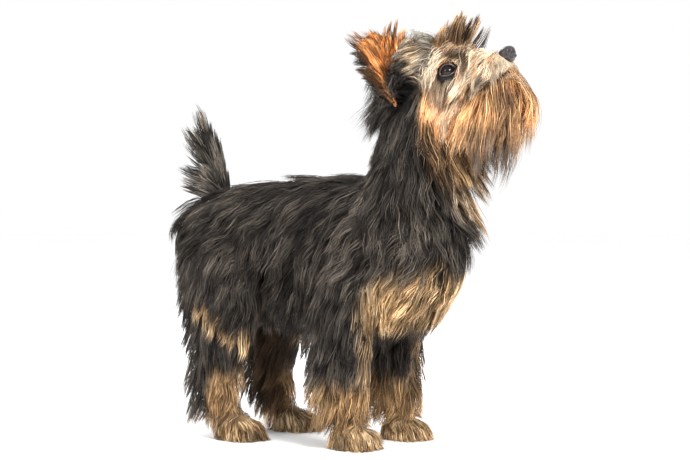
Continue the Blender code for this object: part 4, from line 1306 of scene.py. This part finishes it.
def nose_piece():
    """The bare nose, with a dip for each nostril, its slit and the groove between them."""
    bm = bmesh.new()
    add_loft(bm, on_head(NOSE), 28, 6)
    bmesh.ops.recalc_face_normals(bm, faces=bm.faces)
    bmesh.ops.subdivide_edges(bm, edges=bm.edges[:], cuts=1, use_grid_fill=True, smooth=0.6)
    for vert in bm.verts:
        offset = vert.co - NOSE_TIP
        side, back, up = offset.x, -offset.dot(HEAD_FORWARD), offset.dot(HEAD_UP)
        deep = 0.0
        for sign in (RIGHT, LEFT):
            hole = ((side - sign * NOSTRIL_SIDE) / 0.0016) ** 2 + ((up - NOSTRIL_UP) / 0.0014) ** 2
            deep += NOSTRIL_DEEP * math.exp(-hole) * (back < 0.005)
            slit = ((back - SLIT_BACK) / 0.0022) ** 2 + ((up - SLIT_UP) / 0.0009) ** 2
            vert.co.x -= sign * SLIT_DEEP * math.exp(-slit) * (side * sign > 0.0025)
        middle_groove = NOSE_GROOVE_DEEP * math.exp(-(side / 0.0005) ** 2) * (up < 0.004) * (back < 0.004)
        vert.co -= HEAD_FORWARD * (deep + middle_groove)
    bmesh.ops.smooth_vert(bm, verts=bm.verts, factor=0.3, use_axis_x=True, use_axis_y=True, use_axis_z=True)
    return add_piece("nose_leather", bm)


def claws_piece():
    """Four short curved claws in front of each paw, mostly under the hair."""
    bm = bmesh.new()
    for side in (RIGHT, LEFT):
        for paw_y in (FRONT_PAW_Y, HIND_PAW_Y):
            for place in TOES:
                forward = CLAW_FORWARD - abs(place) * CLAW_BEND
                x = side * STANCE + place * CLAW_SPACING
                root = Vector((x, paw_y + PAW_AHEAD - forward, CLAW_HEIGHT))
                rings = []
                for i, (reach, drop, radius) in enumerate(CLAW_RINGS):
                    tilt = Matrix.Rotation(math.radians(90 - CLAW_CURL * i), 4, "X")
                    rings.append((Matrix.Translation(root + Vector((0, -reach, -drop))) @ tilt, radius))
                add_tube(bm, rings, 8)
    bmesh.ops.recalc_face_normals(bm, faces=bm.faces)
    return add_piece("claws", bm)


def settle(piece, slot, *nodes):
    """Moves a finished mesh to the model's place and lets it ride on the body."""
    piece.data.transform(Matrix.Translation(OFFSET))
    piece.data.update()
    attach(piece, "root")
    if nodes:
        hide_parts(*nodes)


# Dressing the skin: the coat's own colours, darker, and bare places of their own.
SKIN_TONE, EAR_SKIN_TONE = 0.45, 0.6
skin_colour = np.zeros((len(skin_points), 3))
for part in part_names:
    mine = point_parts == part
    if part.startswith("ear"):
        skin_colour[mine] = BLACK
    else:
        kind = "skin_head" if part == "head" else part.removesuffix("_right").removesuffix("_left")
        skin_colour[mine] = markings(skin_points[mine], kind, 0.0) * SKIN_TONE
for side, word in SIDES:
    ear = point_parts == f"ear_{word}"
    opens = smooth(skin_normals @ np.array(ear_axes(side)[2]), 0.0, 0.4)
    inner = mixed(PINK * 0.62, RUST * EAR_SKIN_TONE, smooth(skin_points[:, 2], 0.268, 0.280))
    skin_colour[ear] = mixed(skin_colour[ear], inner[ear], opens[ear])
    skin_colour[distance(skin_points, eye_centre(side)) < EYE_RADIUS + 0.0030] = LID_BROWN
skin_colour = mixed(skin_colour, MOUTH_BROWN, groove)
skin_colour[skin_points[:, 2] < 0.003] = PAD_GREY
paint(skin.data, skin_colour)
skin.data.shade_smooth()
skin.data.materials.clear()
skin.data.materials.append(skin_material())

# Growing the coat: every random draw comes from these dice, in this order.
dice = np.random.default_rng(24)
root_place, root_out, root_part, root_spot = roots_on_skin(dice)
root_kind = kinds_of(root_place, root_out, root_part, dice)
black_hair = streaked_material("black_hair", 380.0, 0.7, 0.42, 0.18)[0]
warm_hair = streaked_material("warm_hair", 380.0, 0.7, 0.50, 0.22)[0]


def add_coat(name, kinds, chosen, material, slot, node, lies=LIES):
    """Grows the chosen roots of these kinds as one piece, in its node's stead."""
    groups = []
    for kind in kinds:
        mine = chosen & (root_kind == kind)
        if mine.any():
            place, out, spot = root_place[mine], root_out[mine], root_spot[mine]
            groups.append(strands(kind, place, out, spot, lies[kind], dice))
    settle(coat_piece(name, groups, material), slot, node)


SHOULDERS_END, FLANKS_END = -0.030, 0.045
length_wise = root_place[:, 1]
everywhere = np.ones(len(root_kind), bool)
flanks = (length_wise >= SHOULDERS_END) & (length_wise < FLANKS_END)
for region, chosen in (("shoulders", length_wise < SHOULDERS_END), ("flanks", flanks),
                       ("rump", length_wise >= FLANKS_END)):
    add_coat(f"coat_{region}", ["torso"], chosen, black_hair, "grey_black_hair", "torso")
add_coat("coat_neck", ["neck"], everywhere, black_hair, "black_hair", "neck")
for region, kinds in (("face", ["cheek", "beard"]), ("crown", ["skull", "brow"]),
                      ("moustache", ["moustache"])):
    add_coat(f"coat_{region}", kinds, everywhere, warm_hair, "face_hair", "head")
for leg_kind in ("leg_front", "leg_hind"):
    for _, word in SIDES:
        leg = f"{leg_kind}_{word}"
        add_coat(f"coat_{leg}", [leg_kind, "foot"], root_part == leg, warm_hair, "leg_hair", leg)
add_coat("coat_tail", ["tail"], everywhere, black_hair, "grey_black_hair", "tail")
for side, word in SIDES:
    ear_lies = {"ear_inside": ear_lie(side, True), "ear_back": ear_lie(side, False)}
    chosen = root_part == f"ear_{word}"
    add_coat(f"coat_ear_{word}", list(ear_lies), chosen, warm_hair, "face_hair", f"ear_{word}", ear_lies)

settle(skin, "leg_hair", *part_names)
eye_look = eye_material()
for side, word in SIDES:
    eye = eye_piece(side, f"eyeball_{word}")
    eye.data.materials.append(eye_look)
    settle(eye, "eye", f"eye_{word}")
rims, nose, claws = lid_rims(), nose_piece(), claws_piece()
rims.data.materials.append(rim_material())
nose.data.materials.append(leather_material())
claws.data.materials.append(streaked_material("claw_horn", 1200.0, 0.8, 0.4, 0.5, shade(48, 38, 32))[0])
settle(rims, "nose_leather")
settle(nose, "nose_leather", "nose")
settle(claws, "nose_leather")

# Floor, light and camera.
floor_bm = bmesh.new()
bmesh.ops.create_grid(floor_bm, x_segments=2, y_segments=2, size=40)
floor = add_piece("floor", floor_bm, rounded=False)
floor.data.materials.append(streaked_material("floor", 30.0, 0.02, 0.85, 0.2, (1, 1, 1))[0])

world = bpy.data.worlds.new("studio")
world.use_nodes = True
world.node_tree.nodes["Background"].inputs["Color"].default_value = (1.0, 1.0, 1.0, 1)
world.node_tree.nodes["Background"].inputs["Strength"].default_value = 1.0
bpy.context.scene.world = world


def look_along(made, direction):
    made.rotation_mode = "QUATERNION"
    made.rotation_quaternion = direction.to_track_quat("-Z", "Y")


def softbox(name, place, size, power):
    """A square light that looks at the middle of the body."""
    light = bpy.data.lights.new(name, "AREA")
    light.shape = "SQUARE"
    light.size = size
    light.energy = power
    lamp = add_object(name, light)
    lamp.location = place
    look_along(lamp, Vector((0, 0, 0.17)) - Vector(place))


softbox("key", (-0.8, -1.5, 1.5), 0.7, 50)
softbox("left", (-1.6, 0.5, 1.1), 1.0, 14)
softbox("rim", (0.9, 1.3, 1.2), 0.8, 18)

VIEW_AZIMUTH = math.radians(-57)
CAMERA_AWAY, CAMERA_RIGHT, CAMERA_HEIGHT = 1.25, 0.01704, 0.155
SENSOR_WIDTH = 36
FOCAL_PIXELS, PICTURE_WIDTH = 1687, 690
toward = Vector((math.sin(VIEW_AZIMUTH), -math.cos(VIEW_AZIMUTH), 0))
right_hand = Vector((math.cos(VIEW_AZIMUTH), math.sin(VIEW_AZIMUTH), 0))
lens = bpy.data.cameras.new("camera")
lens.sensor_width = SENSOR_WIDTH
lens.lens = FOCAL_PIXELS / PICTURE_WIDTH * SENSOR_WIDTH
lens.clip_start = 0.01
camera = add_object("camera", lens)
camera.location = OFFSET + toward * CAMERA_AWAY + right_hand * CAMERA_RIGHT + Vector((0, 0, CAMERA_HEIGHT))
look_along(camera, -toward)
bpy.context.scene.camera = camera
bpy.context.scene.view_settings.view_transform = "Standard"
